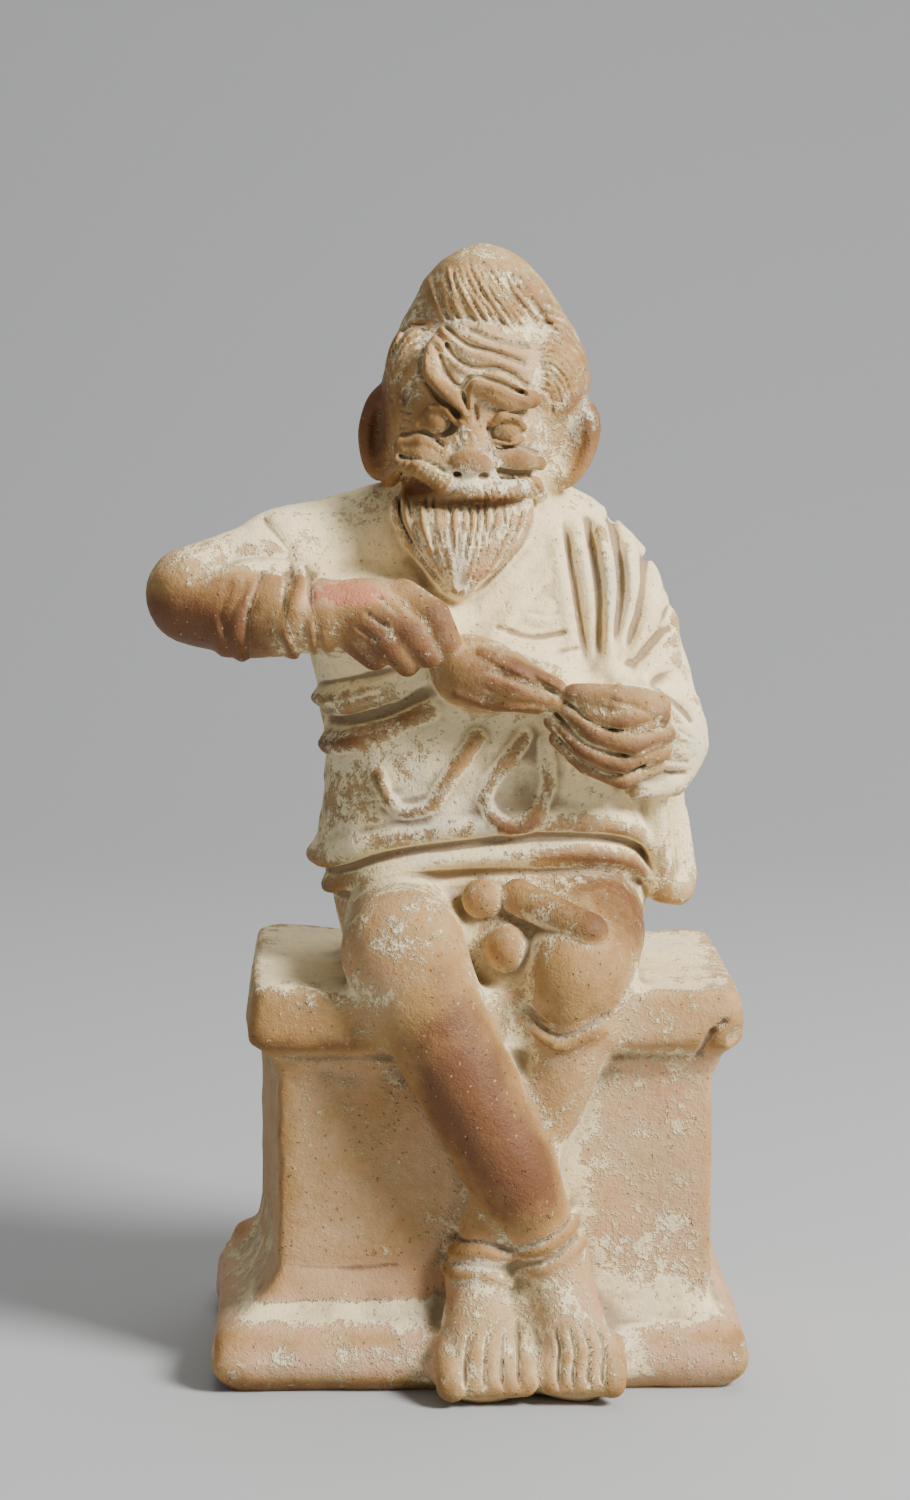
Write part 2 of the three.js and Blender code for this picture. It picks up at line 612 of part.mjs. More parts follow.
// Marching cubes over the grid, each edge's crossing shared by the cells around it
const CORNERS = [
  [0, 0, 0], [1, 0, 0], [1, 1, 0], [0, 1, 0],
  [0, 0, 1], [1, 0, 1], [1, 1, 1], [0, 1, 1],
];
const EDGES = [
  [0, 1], [1, 2], [2, 3], [3, 0], [4, 5], [5, 6],
  [6, 7], [7, 4], [0, 4], [1, 5], [2, 6], [3, 7],
];

function surfaceOf(field) {
  const points = [];
  const faces = [];
  const crossings = new Map();
  function crossing(i, j, k, edge) {
    const [a, b] = EDGES[edge].map((corner) => {
      const [di, dj, dk] = CORNERS[corner];
      return [i + di, j + dj, k + dk];
    });
    const [ia, ib] = [cornerAt(...a), cornerAt(...b)];
    const key = Math.min(ia, ib) * 3 + [1, countX].indexOf(Math.abs(ia - ib)) + 1;
    if (!crossings.has(key)) {
      const t = field[ia] / (field[ia] - field[ib]);
      crossings.set(key, points.length);
      points.push(a.map((at, axis) => lerp(placeOf(axis, at), placeOf(axis, b[axis]), t)));
    }
    return crossings.get(key);
  }
  for (let k = 0; k < countZ - 1; k++)
    for (let j = 0; j < countY - 1; j++)
      for (let i = 0; i < countX - 1; i++) {
        let inside = 0;
        CORNERS.forEach(([di, dj, dk], bit) => {
          if (field[cornerAt(i + di, j + dj, k + dk)] < 0) inside |= 1 << bit;
        });
        if (!edgeTable[inside]) continue;
        for (let t = inside * 16; triTable[t] !== -1; t += 3)
          faces.push([2, 1, 0].map((n) => crossing(i, j, k, triTable[t + n])));
      }
  return { points, faces };
}

// Edge collapse by quadric error until the surface has few enough triangles
function simplify({ points, faces }, target) {
  const quadrics = points.map(() => new Float64Array(10));
  const around = points.map(() => new Set());
  const stamp = new Int32Array(points.length);
  const [ab, ac, normal] = [0, 0, 0].map(() => new THREE.Vector3());
  function normalOf(a, b, c) {
    ab.set(b[0] - a[0], b[1] - a[1], b[2] - a[2]);
    ac.set(c[0] - a[0], c[1] - a[1], c[2] - a[2]);
    return normal.crossVectors(ab, ac);
  }
  faces.forEach((face, index) => {
    const corners = face.map((v) => points[v]);
    const n = normalOf(...corners);
    const area = n.length();
    if (area > 0) n.divideScalar(area);
    const d = -(n.x * corners[0][0] + n.y * corners[0][1] + n.z * corners[0][2]);
    const plane = [
      n.x * n.x, n.x * n.y, n.x * n.z, n.x * d, n.y * n.y,
      n.y * n.z, n.y * d, n.z * n.z, n.z * d, d * d,
    ];
    for (const v of face) {
      around[v].add(index);
      plane.forEach((value, i) => (quadrics[v][i] += value * area));
    }
  });

  function errorAt(q, [x, y, z]) {
    const squares = q[0] * x * x + q[4] * y * y + q[7] * z * z;
    const products = q[1] * x * y + q[2] * x * z + q[5] * y * z;
    return squares + 2 * (products + q[3] * x + q[6] * y + q[8] * z) + q[9];
  }

  // The best place for a merged point, or the edge's middle or ends where the best is unsteady
  function bestPlace(q, a, b) {
    const m = new THREE.Matrix3(q[0], q[1], q[2], q[1], q[4], q[5], q[2], q[5], q[7]);
    const middle = a.map((value, i) => (value + b[i]) / 2);
    const choices = [middle, a, b];
    const scale = q[0] + q[4] + q[7];
    if (Math.abs(m.determinant()) > 1e-4 * scale ** 3) {
      const best = new THREE.Vector3(-q[3], -q[6], -q[8]).applyMatrix3(m.invert());
      const span = Math.hypot(a[0] - b[0], a[1] - b[1], a[2] - b[2]);
      const away = Math.hypot(best.x - middle[0], best.y - middle[1], best.z - middle[2]);
      if (away < 2 * span) choices.unshift(best.toArray());
    }
    const errors = choices.map((place) => errorAt(q, place));
    const lowest = Math.min(...errors);
    return { place: choices[errors.indexOf(lowest)], error: Math.max(lowest, 0) };
  }

  const heap = [];
  function rise(i) {
    const item = heap[i];
    while (i > 0) {
      const up = (i - 1) >> 1;
      if (heap[up].cost <= item.cost) break;
      heap[i] = heap[up];
      i = up;
    }
    heap[i] = item;
  }
  function takeLowest() {
    const top = heap[0];
    const last = heap.pop();
    if (!heap.length) return top;
    let i = 0;
    for (;;) {
      let down = 2 * i + 1;
      if (down >= heap.length) break;
      if (down + 1 < heap.length && heap[down + 1].cost < heap[down].cost) down++;
      if (heap[down].cost >= last.cost) break;
      heap[i] = heap[down];
      i = down;
    }
    heap[i] = last;
    return top;
  }
  function offer(a, b) {
    const sum = quadrics[a].map((value, i) => value + quadrics[b][i]);
    const { place, error } = bestPlace(sum, points[a], points[b]);
    const [pa, pb] = [points[a], points[b]];
    const span = (pa[0] - pb[0]) ** 2 + (pa[1] - pb[1]) ** 2 + (pa[2] - pb[2]) ** 2;
    const cost = error + 1e-5 * span;
    heap.push({ a, b, sum, place, cost, stamps: [stamp[a], stamp[b]] });
    rise(heap.length - 1);
  }

  function ring(v) {
    const found = new Set();
    for (const index of around[v]) for (const w of faces[index]) if (w !== v) found.add(w);
    return found;
  }
  function turnsOver(v, other, place) {
    for (const index of around[v]) {
      const face = faces[index];
      if (face.includes(other)) continue;
      const before = normalOf(...face.map((w) => points[w])).clone();
      const after = normalOf(...face.map((w) => (w === v ? place : points[w])));
      const size = before.length() * after.length();
      if (size < 1e-12 || before.dot(after) < 0.25 * size) return true;
    }
    return false;
  }

  for (const [a, b, c] of faces)
    for (const [from, to] of [[a, b], [b, c], [c, a]]) if (from < to) offer(from, to);

  let left = faces.length;
  while (left > target && heap.length) {
    const { a, b, sum, place, stamps } = takeLowest();
    if (stamps[0] !== stamp[a] || stamps[1] !== stamp[b]) continue;
    const [ringA, ringB] = [ring(a), ring(b)];
    const shared = [...ringA].filter((v) => ringB.has(v));
    if (!ringA.has(b) || shared.length !== 2) continue;
    if (turnsOver(a, b, place) || turnsOver(b, a, place)) continue;
    for (const index of [...around[b]]) {
      if (faces[index].includes(a)) {
        for (const v of faces[index]) around[v].delete(index);
        faces[index] = null;
        left--;
      } else {
        faces[index] = faces[index].map((v) => (v === b ? a : v));
        around[b].delete(index);
        around[a].add(index);
      }
    }
    points[a] = place;
    quadrics[a] = sum;
    stamp[a]++;
    stamp[b]++;
    for (const v of ring(a)) offer(a, v);
  }
  return { points, faces: faces.filter(Boolean) };
}

// The finished solid, its underside cut flat
const wasm = await Module();
wasm.setup();

function solidOf(vertProperties, triVerts) {
  return new wasm.Manifold(new wasm.Mesh({ numProp: 3, vertProperties, triVerts }));
}

function solidOfGeometry(geometry) {
  const bare = geometry.clone();
  bare.deleteAttribute("normal");
  bare.deleteAttribute("uv");
  const merged = mergeVertices(bare);
  return solidOf(merged.attributes.position.array, new Uint32Array(merged.index.array));
}

function geometryOf(solid) {
  const { vertProperties, triVerts } = solid.getMesh();
  const geometry = new THREE.BufferGeometry();
  geometry.setAttribute("position", new THREE.BufferAttribute(vertProperties, 3));
  geometry.setIndex(new THREE.BufferAttribute(triVerts, 1));
  geometry.computeVertexNormals();
  return geometry;
}

function makeStatuette() {
  const { points, faces } = simplify(surfaceOf(sampleClay()), TRIANGLES);
  const clay = solidOf(new Float32Array(points.flat()), new Uint32Array(faces.flat()));
  const { x, y } = room.getSize(new THREE.Vector3());
  const depth = 4 * (SPARE + CELL);
  const ground = new THREE.BoxGeometry(2 * x, 2 * y, depth).translate(0, 0, -depth / 2);
  const cutFlat = clay.subtract(solidOfGeometry(ground));
  const bodies = cutFlat.decompose().sort((a, b) => b.volume() - a.volume());
  const material = new THREE.MeshStandardMaterial({
    color: 0xb98a5e,
    roughness: 0.85,
    metalness: 0,
  });
  const mesh = new THREE.Mesh(geometryOf(bodies[0]), material);
  mesh.name = "seated_figure_on_altar";
  return mesh;
}

const statuette = new THREE.Group();
statuette.add(makeStatuette());

export default statuette;
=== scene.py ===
"""A fired-clay statuette: a bearded comic figure on an altar, carved and coloured as it is seen.

The whole is one moulded piece. Its clay is a grid of signed distances, negative inside, worked in
millimetres of the figure as drawn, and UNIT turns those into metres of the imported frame.
"""
import math

import bpy
import numpy as np
import openvdb
from mathutils import Euler, Matrix, Vector


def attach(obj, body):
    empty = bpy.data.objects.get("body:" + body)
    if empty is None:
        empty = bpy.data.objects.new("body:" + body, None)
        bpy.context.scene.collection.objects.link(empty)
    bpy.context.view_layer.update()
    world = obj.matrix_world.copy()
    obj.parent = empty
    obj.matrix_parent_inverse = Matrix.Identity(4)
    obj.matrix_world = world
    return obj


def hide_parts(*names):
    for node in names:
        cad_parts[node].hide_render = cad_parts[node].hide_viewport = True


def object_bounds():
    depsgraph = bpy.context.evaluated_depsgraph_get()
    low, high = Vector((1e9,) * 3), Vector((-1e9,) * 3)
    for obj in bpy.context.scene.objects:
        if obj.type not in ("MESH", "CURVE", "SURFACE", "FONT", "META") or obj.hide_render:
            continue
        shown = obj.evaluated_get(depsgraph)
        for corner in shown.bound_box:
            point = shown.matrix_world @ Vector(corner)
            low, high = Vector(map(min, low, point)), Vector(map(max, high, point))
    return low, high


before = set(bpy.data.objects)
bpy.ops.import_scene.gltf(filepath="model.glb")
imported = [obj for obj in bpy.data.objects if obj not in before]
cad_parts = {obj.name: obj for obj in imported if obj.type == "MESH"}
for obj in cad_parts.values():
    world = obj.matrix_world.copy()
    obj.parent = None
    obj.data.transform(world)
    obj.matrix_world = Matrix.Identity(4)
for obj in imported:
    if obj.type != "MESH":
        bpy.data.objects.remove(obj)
cad_box = [list(corner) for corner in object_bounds()]

# The figure as drawn
DRAWN_HEIGHT = 175.42
SEAT = 62
DIE_WIDTH = 67
DIE_DEPTH = 44
PLINTH_TOP = 10.5
PLINTH_OVERHANG = 8.2
SWEEP_TOP = 18.5
SLAB_BOTTOM = 52.2
SLAB_OVERHANG = 4.3
FILLET_BOTTOM = 48.8
ALTAR_SHIFT = 1.2
DIE_SPLAY = 3.6
SLAB_TILT = 1.2
CORNER_WEAR = 3

UNIT = (cad_box[1][2] - cad_box[0][2]) / DRAWN_HEIGHT
CELL = 0.37
TRIANGLES = 194000
REACH = 2.5  # distances are kept this far from the surface
EMPTY = 8  # the distance in a cell that no shape has reached
ROOM = ([-57, -43, -1.26], [46, 35, 179])  # the grid's lowest and highest corner
CURVE_STEPS = 6  # straight steps between two points of a stroke
END_ROUNDING = 4  # of a trunk's flat ends
PRESSED_DEPTH = 3  # a stroke dies away over this depth
STRAND_STRENGTHS = (0.7, 1.2)  # the least and most of a strand's height
STRAND_FADE = 0.18
UNEVENNESS = [(10, 0.2), (3.6, 0.1)]  # size and amount of each

rng = np.random.default_rng(7)


def lerp(a, b, t):
    return a + (b - a) * t


def smoothstep(value, low, high):
    t = np.clip((value - low) / (high - low), 0, 1)
    return t * t * (3 - 2 * t)


def smooth_min(a, b, blend):
    h = np.maximum(blend - np.abs(a - b), 0) / blend
    return np.minimum(a, b) - h * h * (blend * 0.25)


def smooth_max(a, b, blend):
    return -smooth_min(-a, -b, blend)


# Shapes: the lowest and highest corner of each, and its distance


def limb(stations, depth=1):
    """A roll of clay through [x, y, z, radius] stations.

    A depth above 1 flattens it from front to back.
    """
    stations = np.array(stations, dtype=float)
    low = (stations[:, :3] - stations[:, 3:]).min(axis=0)
    high = (stations[:, :3] + stations[:, 3:]).max(axis=0)

    def distance(x, y, z):
        nearest = None
        for start, end in zip(stations[:-1], stations[1:]):
            ex, ey, ez = end[:3] - start[:3]
            px, py, pz = x - start[0], y - start[1], z - start[2]
            t = (px * ex + py * ey + pz * ez) / (ex * ex + ey * ey + ez * ez)
            t = np.clip(t, 0, 1)
            gap = (px - t * ex) ** 2 + ((py - t * ey) * depth) ** 2 + (pz - t * ez) ** 2
            away = np.sqrt(gap) - lerp(start[3], end[3], t)
            nearest = away if nearest is None else np.minimum(nearest, away)
        return nearest

    return low, high, distance


def ovoid(centre, radii, turn=(0, 0, 0)):
    """An ellipsoid of three radii, turned by degrees about X, Y and Z."""
    centre = np.array(centre, dtype=float)
    reach = max(radii)
    rx, ry, rz = radii
    m = np.array(Euler([math.radians(a) for a in turn], "ZYX").to_matrix().transposed())

    def distance(x, y, z):
        dx, dy, dz = x - centre[0], y - centre[1], z - centre[2]
        u = m[0][0] * dx + m[0][1] * dy + m[0][2] * dz
        v = m[1][0] * dx + m[1][1] * dy + m[1][2] * dz
        w = m[2][0] * dx + m[2][1] * dy + m[2][2] * dz
        k = np.sqrt((u / rx) ** 2 + (v / ry) ** 2 + (w / rz) ** 2)
        g = np.sqrt((u / rx**2) ** 2 + (v / ry**2) ** 2 + (w / rz**2) ** 2)
        return k * (k - 1) / np.maximum(g, 1e-6)

    return centre - reach, centre + reach, distance


def trunk(rows, squareness):
    """At each height, a rounded section: [height, left, right, front, back]."""
    rows = np.array(rows, dtype=float)
    low = np.array([rows[:, 1].min(), rows[:, 3].min(), rows[0, 0]])
    high = np.array([rows[:, 2].max(), rows[:, 4].max(), rows[-1, 0]])
    middle, half = (low[2] + high[2]) / 2, (high[2] - low[2]) / 2

    def distance(x, y, z):
        left, right, front, back = [np.interp(z, rows[:, 0], rows[:, n]) for n in (1, 2, 3, 4)]
        half_width, half_depth = (right - left) / 2, (back - front) / 2
        u = np.abs(x - (left + right) / 2) / half_width
        v = np.abs(y - (front + back) / 2) / half_depth
        k = (u**squareness + v**squareness) ** (1 / squareness)
        around = (k - 1) * np.minimum(half_width, half_depth)
        return smooth_max(around, np.abs(z - middle) - half, END_ROUNDING)

    return low, high, distance


def curve_through(points):
    """Points along a smooth curve through the given ones."""
    points = np.array(points, dtype=float)
    padded = np.vstack([2 * points[0] - points[1], points, 2 * points[-1] - points[-2]])
    found = []
    for a, b, c, d in zip(padded[:-3], padded[1:-2], padded[2:-1], padded[3:]):
        for t in np.linspace(0, 1, CURVE_STEPS, endpoint=False):
            found.append(
                0.5 * (2 * b + (c - a) * t + (2 * a - 5 * b + 4 * c - d) * t**2
                       + (3 * b - a - 3 * c + d) * t**3)
            )
    found.append(points[-1])
    return np.array(found)


def stroke(path, width, height, behind, fade):
    """A fold or crease drawn as [x, z] on the figure's front. A positive height raises it.

    It reaches back to the depth behind, and each end dies away over the share fade of its length.
    """
    return curve_through(path), width, height, behind, fade


def share_of(x, z, path, width, fade):
    """How strongly a stroke works at each place, from 0 beside it to 1 along its middle."""
    nearest = np.full(np.broadcast_shapes(x.shape, z.shape), width, dtype=np.float32)
    place = np.zeros_like(nearest)
    for number, (a, b) in enumerate(zip(path[:-1], path[1:])):
        ex, ez = b - a
        px, pz = x - a[0], z - a[1]
        t = np.clip((px * ex + pz * ez) / max(ex * ex + ez * ez, 1e-9), 0, 1)
        gap = np.hypot(px - t * ex, pz - t * ez)
        place = np.where(gap < nearest, (number + t) / (len(path) - 1), place)
        nearest = np.minimum(nearest, gap)
    share = (1 - (nearest / width) ** 2) ** 2
    if fade:
        share = share * smoothstep(place, 0, fade) * (1 - smoothstep(place, 1 - fade, 1))
    return share


class Clay:
    """The grid of distances, and the ways of working it."""

    def __init__(self, low, high):
        self.axes = [np.arange(a, b + CELL, CELL, dtype=np.float32) for a, b in zip(low, high)]
        self.low = np.array([axis[0] for axis in self.axes])
        self.d = np.full([len(axis) for axis in self.axes], EMPTY, dtype=np.float32)

    def window(self, low, high):
        cuts = []
        for axis, a, b in zip(self.axes, low, high):
            first, last = np.searchsorted(axis, [a, b])
            cuts.append(slice(max(first - 1, 0), last + 1))
        x, y, z = [axis[cut] for axis, cut in zip(self.axes, cuts)]
        return tuple(cuts), x[:, None, None], y[None, :, None], z[None, None, :]

    def add(self, shape, blend=1.5):
        low, high, distance = shape
        cut, x, y, z = self.window(low - blend - 1, high + blend + 1)
        self.d[cut] = smooth_min(self.d[cut], distance(x, y, z), blend)

    def cut(self, shape, blend=1):
        low, high, distance = shape
        cut, x, y, z = self.window(low - blend - 1, high + blend + 1)
        self.d[cut] = smooth_max(self.d[cut], -distance(x, y, z), blend)

    def press(self, *marks):
        """Raises or sinks the clay's front along strokes. The strongest wins at each place."""
        points = np.vstack([path for path, *_ in marks])
        reach, behind = marks[0][1], marks[0][3]
        low = [points[:, 0].min() - reach, self.axes[1][0], points[:, 1].min() - reach]
        high = [points[:, 0].max() + reach, behind, points[:, 1].max() + reach]
        cut, x, y, z = self.window(low, high)
        relief = np.zeros((x.shape[0], z.shape[2]), dtype=np.float32)
        for path, width, height, _, fade in marks:
            change = -height * share_of(x[:, 0, :], z[0], path, width, fade)
            relief = np.where(np.abs(change) > np.abs(relief), change, relief)
        self.d[cut] += relief[:, None, :] * (1 - smoothstep(y, behind - PRESSED_DEPTH, behind))

    def draw(self, path, width, height, behind, fade=0.0):
        """Presses one stroke."""
        self.press(stroke(path, width, height, behind, fade))

    def press_between(self, first, last, count, width, height, behind, wave=0.0):
        """Strokes spread evenly between two guide lines, each a little unlike the next."""
        first, last = np.array(first, dtype=float), np.array(last, dtype=float)
        marks = []
        for number in range(count):
            path = lerp(first, last, (number + 0.5) / count)
            path = path + rng.uniform(-wave, wave, path.shape)
            strength = rng.uniform(*STRAND_STRENGTHS)
            marks.append(stroke(path, width, height * strength, behind, STRAND_FADE))
        self.press(*marks)

    def roughen(self, size, amount):
        """Soft unevenness of the given size all over."""
        self.d += amount * soft_noise(self.d.shape, size)


def soft_noise(shape, size):
    """Smooth random values over the grid, changing over about the given size."""
    coarse = rng.standard_normal([int(n * CELL / size) + 4 for n in shape]).astype(np.float32)
    for axis, count in enumerate(shape):
        place = np.arange(count) * (CELL / size)
        index = place.astype(int)
        share = place - index
        share = (share * share * (3 - 2 * share)).astype(np.float32)
        share = share.reshape([-1 if n == axis else 1 for n in range(3)])
        low = np.take(coarse, index, axis=axis)
        coarse = low + (np.take(coarse, index + 1, axis=axis) - low) * share
    return coarse


def make_trunk(clay):
    """The body under the tunic. Each row is a height, then left, right, front and back."""
    rows = [
        [58, -20, 22, -10, 17],
        [66, -22.5, 25, -12, 18.5],
        [74, -24, 26, -14, 18.5],
        [80, -26.4, 26.4, -16.4, 18],
        [88, -25.6, 26.8, -17, 16.5],
        [96, -24.6, 27, -17, 15],
        [104, -25.6, 27, -15.6, 15],
        [112, -27.4, 25, -13, 15.5],
        [120, -27.6, 24, -11, 15.5],
        [128, -25, 21, -8.5, 14],
        [133, -20, 18.6, -6.5, 12],
        [138, -14, 13, -5, 8],
    ]
    clay.add(trunk(rows, 2.5))


def make_shoulders(clay):
    """Both shoulders and the neck."""
    clay.add(limb([[-6, 1, 131, 7.5], [-22, 1, 128.2, 8], [-31, -2, 126, 8]]), 5)
    clay.add(limb([[6, 1, 131, 7.5], [13, 1, 127.6, 7.6], [18, 1, 122, 8]]), 5)
    clay.add(limb([[0, 1, 126, 10], [0, 0, 146, 10]]), 4)


def make_right_arm(clay):
    """The raised right arm, folded hard at the elbow, with the sleeve's rings on it."""
    clay.add(limb([[-30, -3, 126, 7.8], [-38, -6, 124, 7.4], [-45.4, -9, 122.4, 6.4]]), 3)
    clay.add(limb([[-45.2, -10, 121, 6.6], [-37, -13.5, 118.8, 6.5], [-26, -17, 119.2, 5.8]]), 2)
    clay.draw([[-40.4, 113], [-41, 118], [-38.6, 124]], 1.6, 0.5, 2)
    clay.draw([[-37.6, 112], [-38.4, 118], [-36, 124]], 1.4, 0.5, 2)
    clay.draw([[-29.6, 113], [-30.6, 119], [-28.6, 125]], 1.5, 0.6, 2)
    clay.draw([[-27.4, 113], [-28, 119], [-26.4, 125]], 1.3, -0.5, 2)


def make_right_hand(clay):
    """The hand that reaches down into the purse."""
    clay.add(ovoid([-17, -9.5, 117.6], [14, 9, 7]), 3)
    clay.add(ovoid([-17.5, -19, 119.8], [8.2, 4.6, 5.2], [0, 14, 0]), 2)
    fingers = [
        [[-12.8, -19.8, 122.6, 2.4], [-8.2, -21.8, 119.8, 2.3], [-6.2, -22, 115.6, 2]],
        [[-15.4, -20.8, 120.2, 2.4], [-11.6, -22.6, 117.2, 2.3], [-9.2, -22.4, 113.6, 2]],
        [[-17.8, -20.8, 118, 2.4], [-14.6, -22.2, 115, 2.2], [-12.2, -21.8, 112.2, 1.9]],
        [[-19.8, -19.8, 115.8, 2.3], [-17.2, -20.8, 113.2, 2]],
    ]
    for finger in fingers:
        clay.add(limb(finger), 1)


def make_left_arm(clay):
    """The left arm comes down inside the mantle and turns in at the elbow."""
    upper_arm = [[18, 0, 122, 8], [22.6, -1, 114.5, 7.8], [25, -3, 107, 7.6], [27, -5, 100, 7.4]]
    clay.add(limb(upper_arm), 4)
    clay.add(limb([[27.4, -6, 98, 7.2], [25.6, -13, 100, 6.4], [24.4, -17, 101.6, 5.6]]), 3)


def make_purse(clay):
    """The purse: a soft bag, gathered where the left hand grips it."""
    clay.add(ovoid([3, -12, 108.6], [12, 8, 6]), 3)
    clay.add(ovoid([-1, -17.6, 110.2], [8.2, 6, 5.8], [0, 16, 0]), 2)
    bag = [[-3.4, -19.6, 111, 4.8], [3.4, -21.2, 109.2, 4.2], [9.8, -22, 107.2, 2.8]]
    clay.add(limb(bag), 1.5)
    clay.draw([[-1, 114.4], [4.4, 112.2], [10.6, 109.2]], 1.2, 0.6, -14)
    clay.draw([[1, 111.6], [6, 109.6], [10.6, 107.8]], 1, -0.7, -14)
    clay.draw([[-5, 107.6], [1, 105.8], [7.4, 105.4]], 1.2, 0.5, -14)


def make_left_hand(clay):
    """The hand that grips the purse, with the thumb on top and the fingers curled below."""
    clay.add(ovoid([18, -13, 102], [10, 9, 7]), 3)
    clay.add(ovoid([19.4, -19.6, 102.2], [8.8, 6, 6.6], [0, -8, 0]), 1.5)
    clay.add(limb([[13, -24, 107.8, 1.7], [19, -25.2, 107.2, 2.2], [25.4, -22, 105.6, 2.4]]), 1)
    fingers = [
        [[15.4, -24.6, 105.4, 1.6], [20.4, -25.4, 103.8, 2.2], [25.6, -23, 104.4, 2.2]],
        [[11.2, -23, 106, 1.5], [16, -25.4, 102.2, 2], [22, -25.2, 100, 2.2],
         [26.8, -21.6, 101.4, 2]],
        [[9.8, -22, 103.6, 1.5], [14.4, -24.6, 99.8, 2], [20.4, -24.4, 97.2, 2.1],
         [26.4, -20.4, 98.8, 2]],
        [[10.6, -20.6, 100.6, 1.4], [15, -22.6, 97, 1.8], [20.6, -22.4, 94.8, 1.9],
         [25.6, -18.6, 96.4, 1.8]],
    ]
    for finger in fingers:
        clay.add(limb(finger), 0.6)


def make_head(clay):
    """A tall egg of a head, tipped down towards the purse, with hair piled over the forehead."""
    rows = [
        [137, -12, 11, -9, 8],
        [143, -14.6, 14.6, -10.5, 12],
        [148, -15.4, 16.2, -11, 14.5],
        [154, -15.8, 17, -11.4, 15.2],
        [157.4, -15, 16.4, -11, 14.8],
        [160.5, -13.9, 15.3, -10.6, 14],
        [163.6, -12.6, 13.6, -10, 13],
        [166.7, -10.8, 11.5, -9.4, 11.5],
        [169.8, -9.2, 9.3, -8.4, 9.5],
        [172.9, -6.4, 6.3, -6.4, 6.4],
        [175.6, -3, 3, -4, 3],
    ]
    clay.add(trunk(rows, 2.15), 3)
    clay.add(ovoid([1, -5.4, 166.4], [9.6, 6.6, 6.4], [0, 10, 0]), 2)
    clay.add(ovoid([-10.8, -5.6, 156], [4.4, 5.4, 7.2]), 2.5)
    clay.add(ovoid([-12.4, -5.2, 149], [3.2, 5, 6]), 2)
    clay.add(ovoid([10.6, -6, 155.4], [5, 5.4, 7]), 2.5)
    clay.add(ovoid([-2.6, -7.6, 144.6], [11.8, 9, 10.6]), 2)
    clay.add(ovoid([-0.9, -8, 155.8], [9.2, 7.4, 8.4]), 1.5)
    # ears
    clay.add(ovoid([-16.1, -1.6, 146.2], [3.2, 2.6, 7.2], [0, 4, 0]), 1.5)
    clay.cut(ovoid([-16.5, -4.4, 146.2], [1.5, 1.8, 4.6], [0, 4, 0]), 1)
    clay.add(ovoid([13.6, -4.8, 144.4], [4.1, 3.2, 7.6], [0, 18, 0]), 1.5)
    clay.cut(ovoid([13.2, -8.2, 144], [2.3, 2.2, 5], [0, 18, 0]), 1)


def make_face(clay):
    """The comic mask: knotted brow, round eyes, snub nose, full moustache and a wide mouth."""
    clay.add(ovoid([-1.8, -10.8, 150.8], [7.4, 5, 5.6]), 2)
    clay.add(ovoid([-5.4, -12.4, 150], [3, 2.8, 2.6]), 1.5)
    brows = [
        [[-6.4, -13.2, 161.8, 1.3], [-8.6, -13, 158.8, 1.5], [-8.2, -14, 155.2, 1.7],
         [-5.8, -15.2, 152.4, 1.6], [-3.2, -16, 150.2, 1.3]],
        [[-2.2, -15.8, 151.8, 1.1], [-1.6, -16.2, 154, 1.2], [1, -16.4, 153.1, 1.3],
         [3.6, -15.8, 151.6, 1.4], [7, -14, 152, 1.2]],
    ]
    for brow in brows:
        clay.add(limb(brow), 1)
    for x, y, z in [[-7.4, -13.2, 148.6], [3.2, -13.8, 147.4]]:
        clay.cut(ovoid([x, y - 1.8, z], [3.3, 2.2, 2.6]), 1)
        clay.add(ovoid([x, y, z], [2.3, 2.3, 2.1]), 0.4)
    clay.add(limb([[-2.4, -14.4, 147.8, 2], [-2.4, -15.6, 144.8, 2.4]]), 1)
    clay.add(ovoid([-2.6, -17.6, 142.4], [3.3, 3, 2.3]), 0.6)
    clay.add(limb([[-5.6, -16.6, 141.8, 1.6], [0.4, -16.6, 141.4, 1.6]]), 0.6)
    cheeks = [
        [[-12.6, -11.8, 144.6, 1.8], [-9.4, -14, 144.6, 2.2], [-6.4, -15.8, 143.2, 1.6]],
        [[1.4, -15.8, 143.4, 1.3], [4.6, -15, 143, 1.8], [8, -12, 142, 1.5]],
    ]
    moustache = [
        [[-2.8, -17.4, 138.9, 1.9], [-6.6, -17.4, 140, 2], [-10, -15.8, 141.8, 1.9],
         [-13, -12.6, 142.2, 1.7], [-14.8, -9, 139.6, 1.4]],
        [[-2.8, -17.4, 138.9, 1.9], [0.6, -17.4, 138.3, 2.1], [4, -16, 138.3, 2],
         [7.2, -13, 138.9, 1.7], [8.6, -9.4, 137, 1.3]],
    ]
    for roll in cheeks + moustache:
        clay.add(limb(roll), 0.8)
    mouth = [
        [-12.8, -12.4, 139.2, 1.7], [-9.8, -15, 138.2, 1.9], [-6, -16.8, 136.9, 1.3],
        [-1, -17.8, 136.1, 0.8], [6, -15.8, 136.2, 0.7],
    ]
    clay.cut(limb(mouth), 0.6)


def make_beard(clay):
    """A wedge of beard, strands gathered to a point on the chest."""
    rows = [
        [120.6, -5, -2.6, -15.6, -8],
        [122.7, -7.4, -0.8, -17, -6],
        [125.8, -9.8, 2.6, -18, -4],
        [129.6, -13, 6, -18.4, -4],
        [133.4, -14.8, 8.2, -18, -4],
        [138.4, -15, 9, -16.4, -4],
    ]
    clay.add(trunk(rows, 2.3), 2)
    lips = [
        [-12.8, -12.4, 139, 1.5], [-9.5, -15.6, 137.6, 1.4], [-5, -17.6, 136.6, 1.1],
        [2, -17.6, 136, 1.1], [7.8, -13.6, 136.8, 1],
    ]
    clay.cut(limb(lips), 0.8)


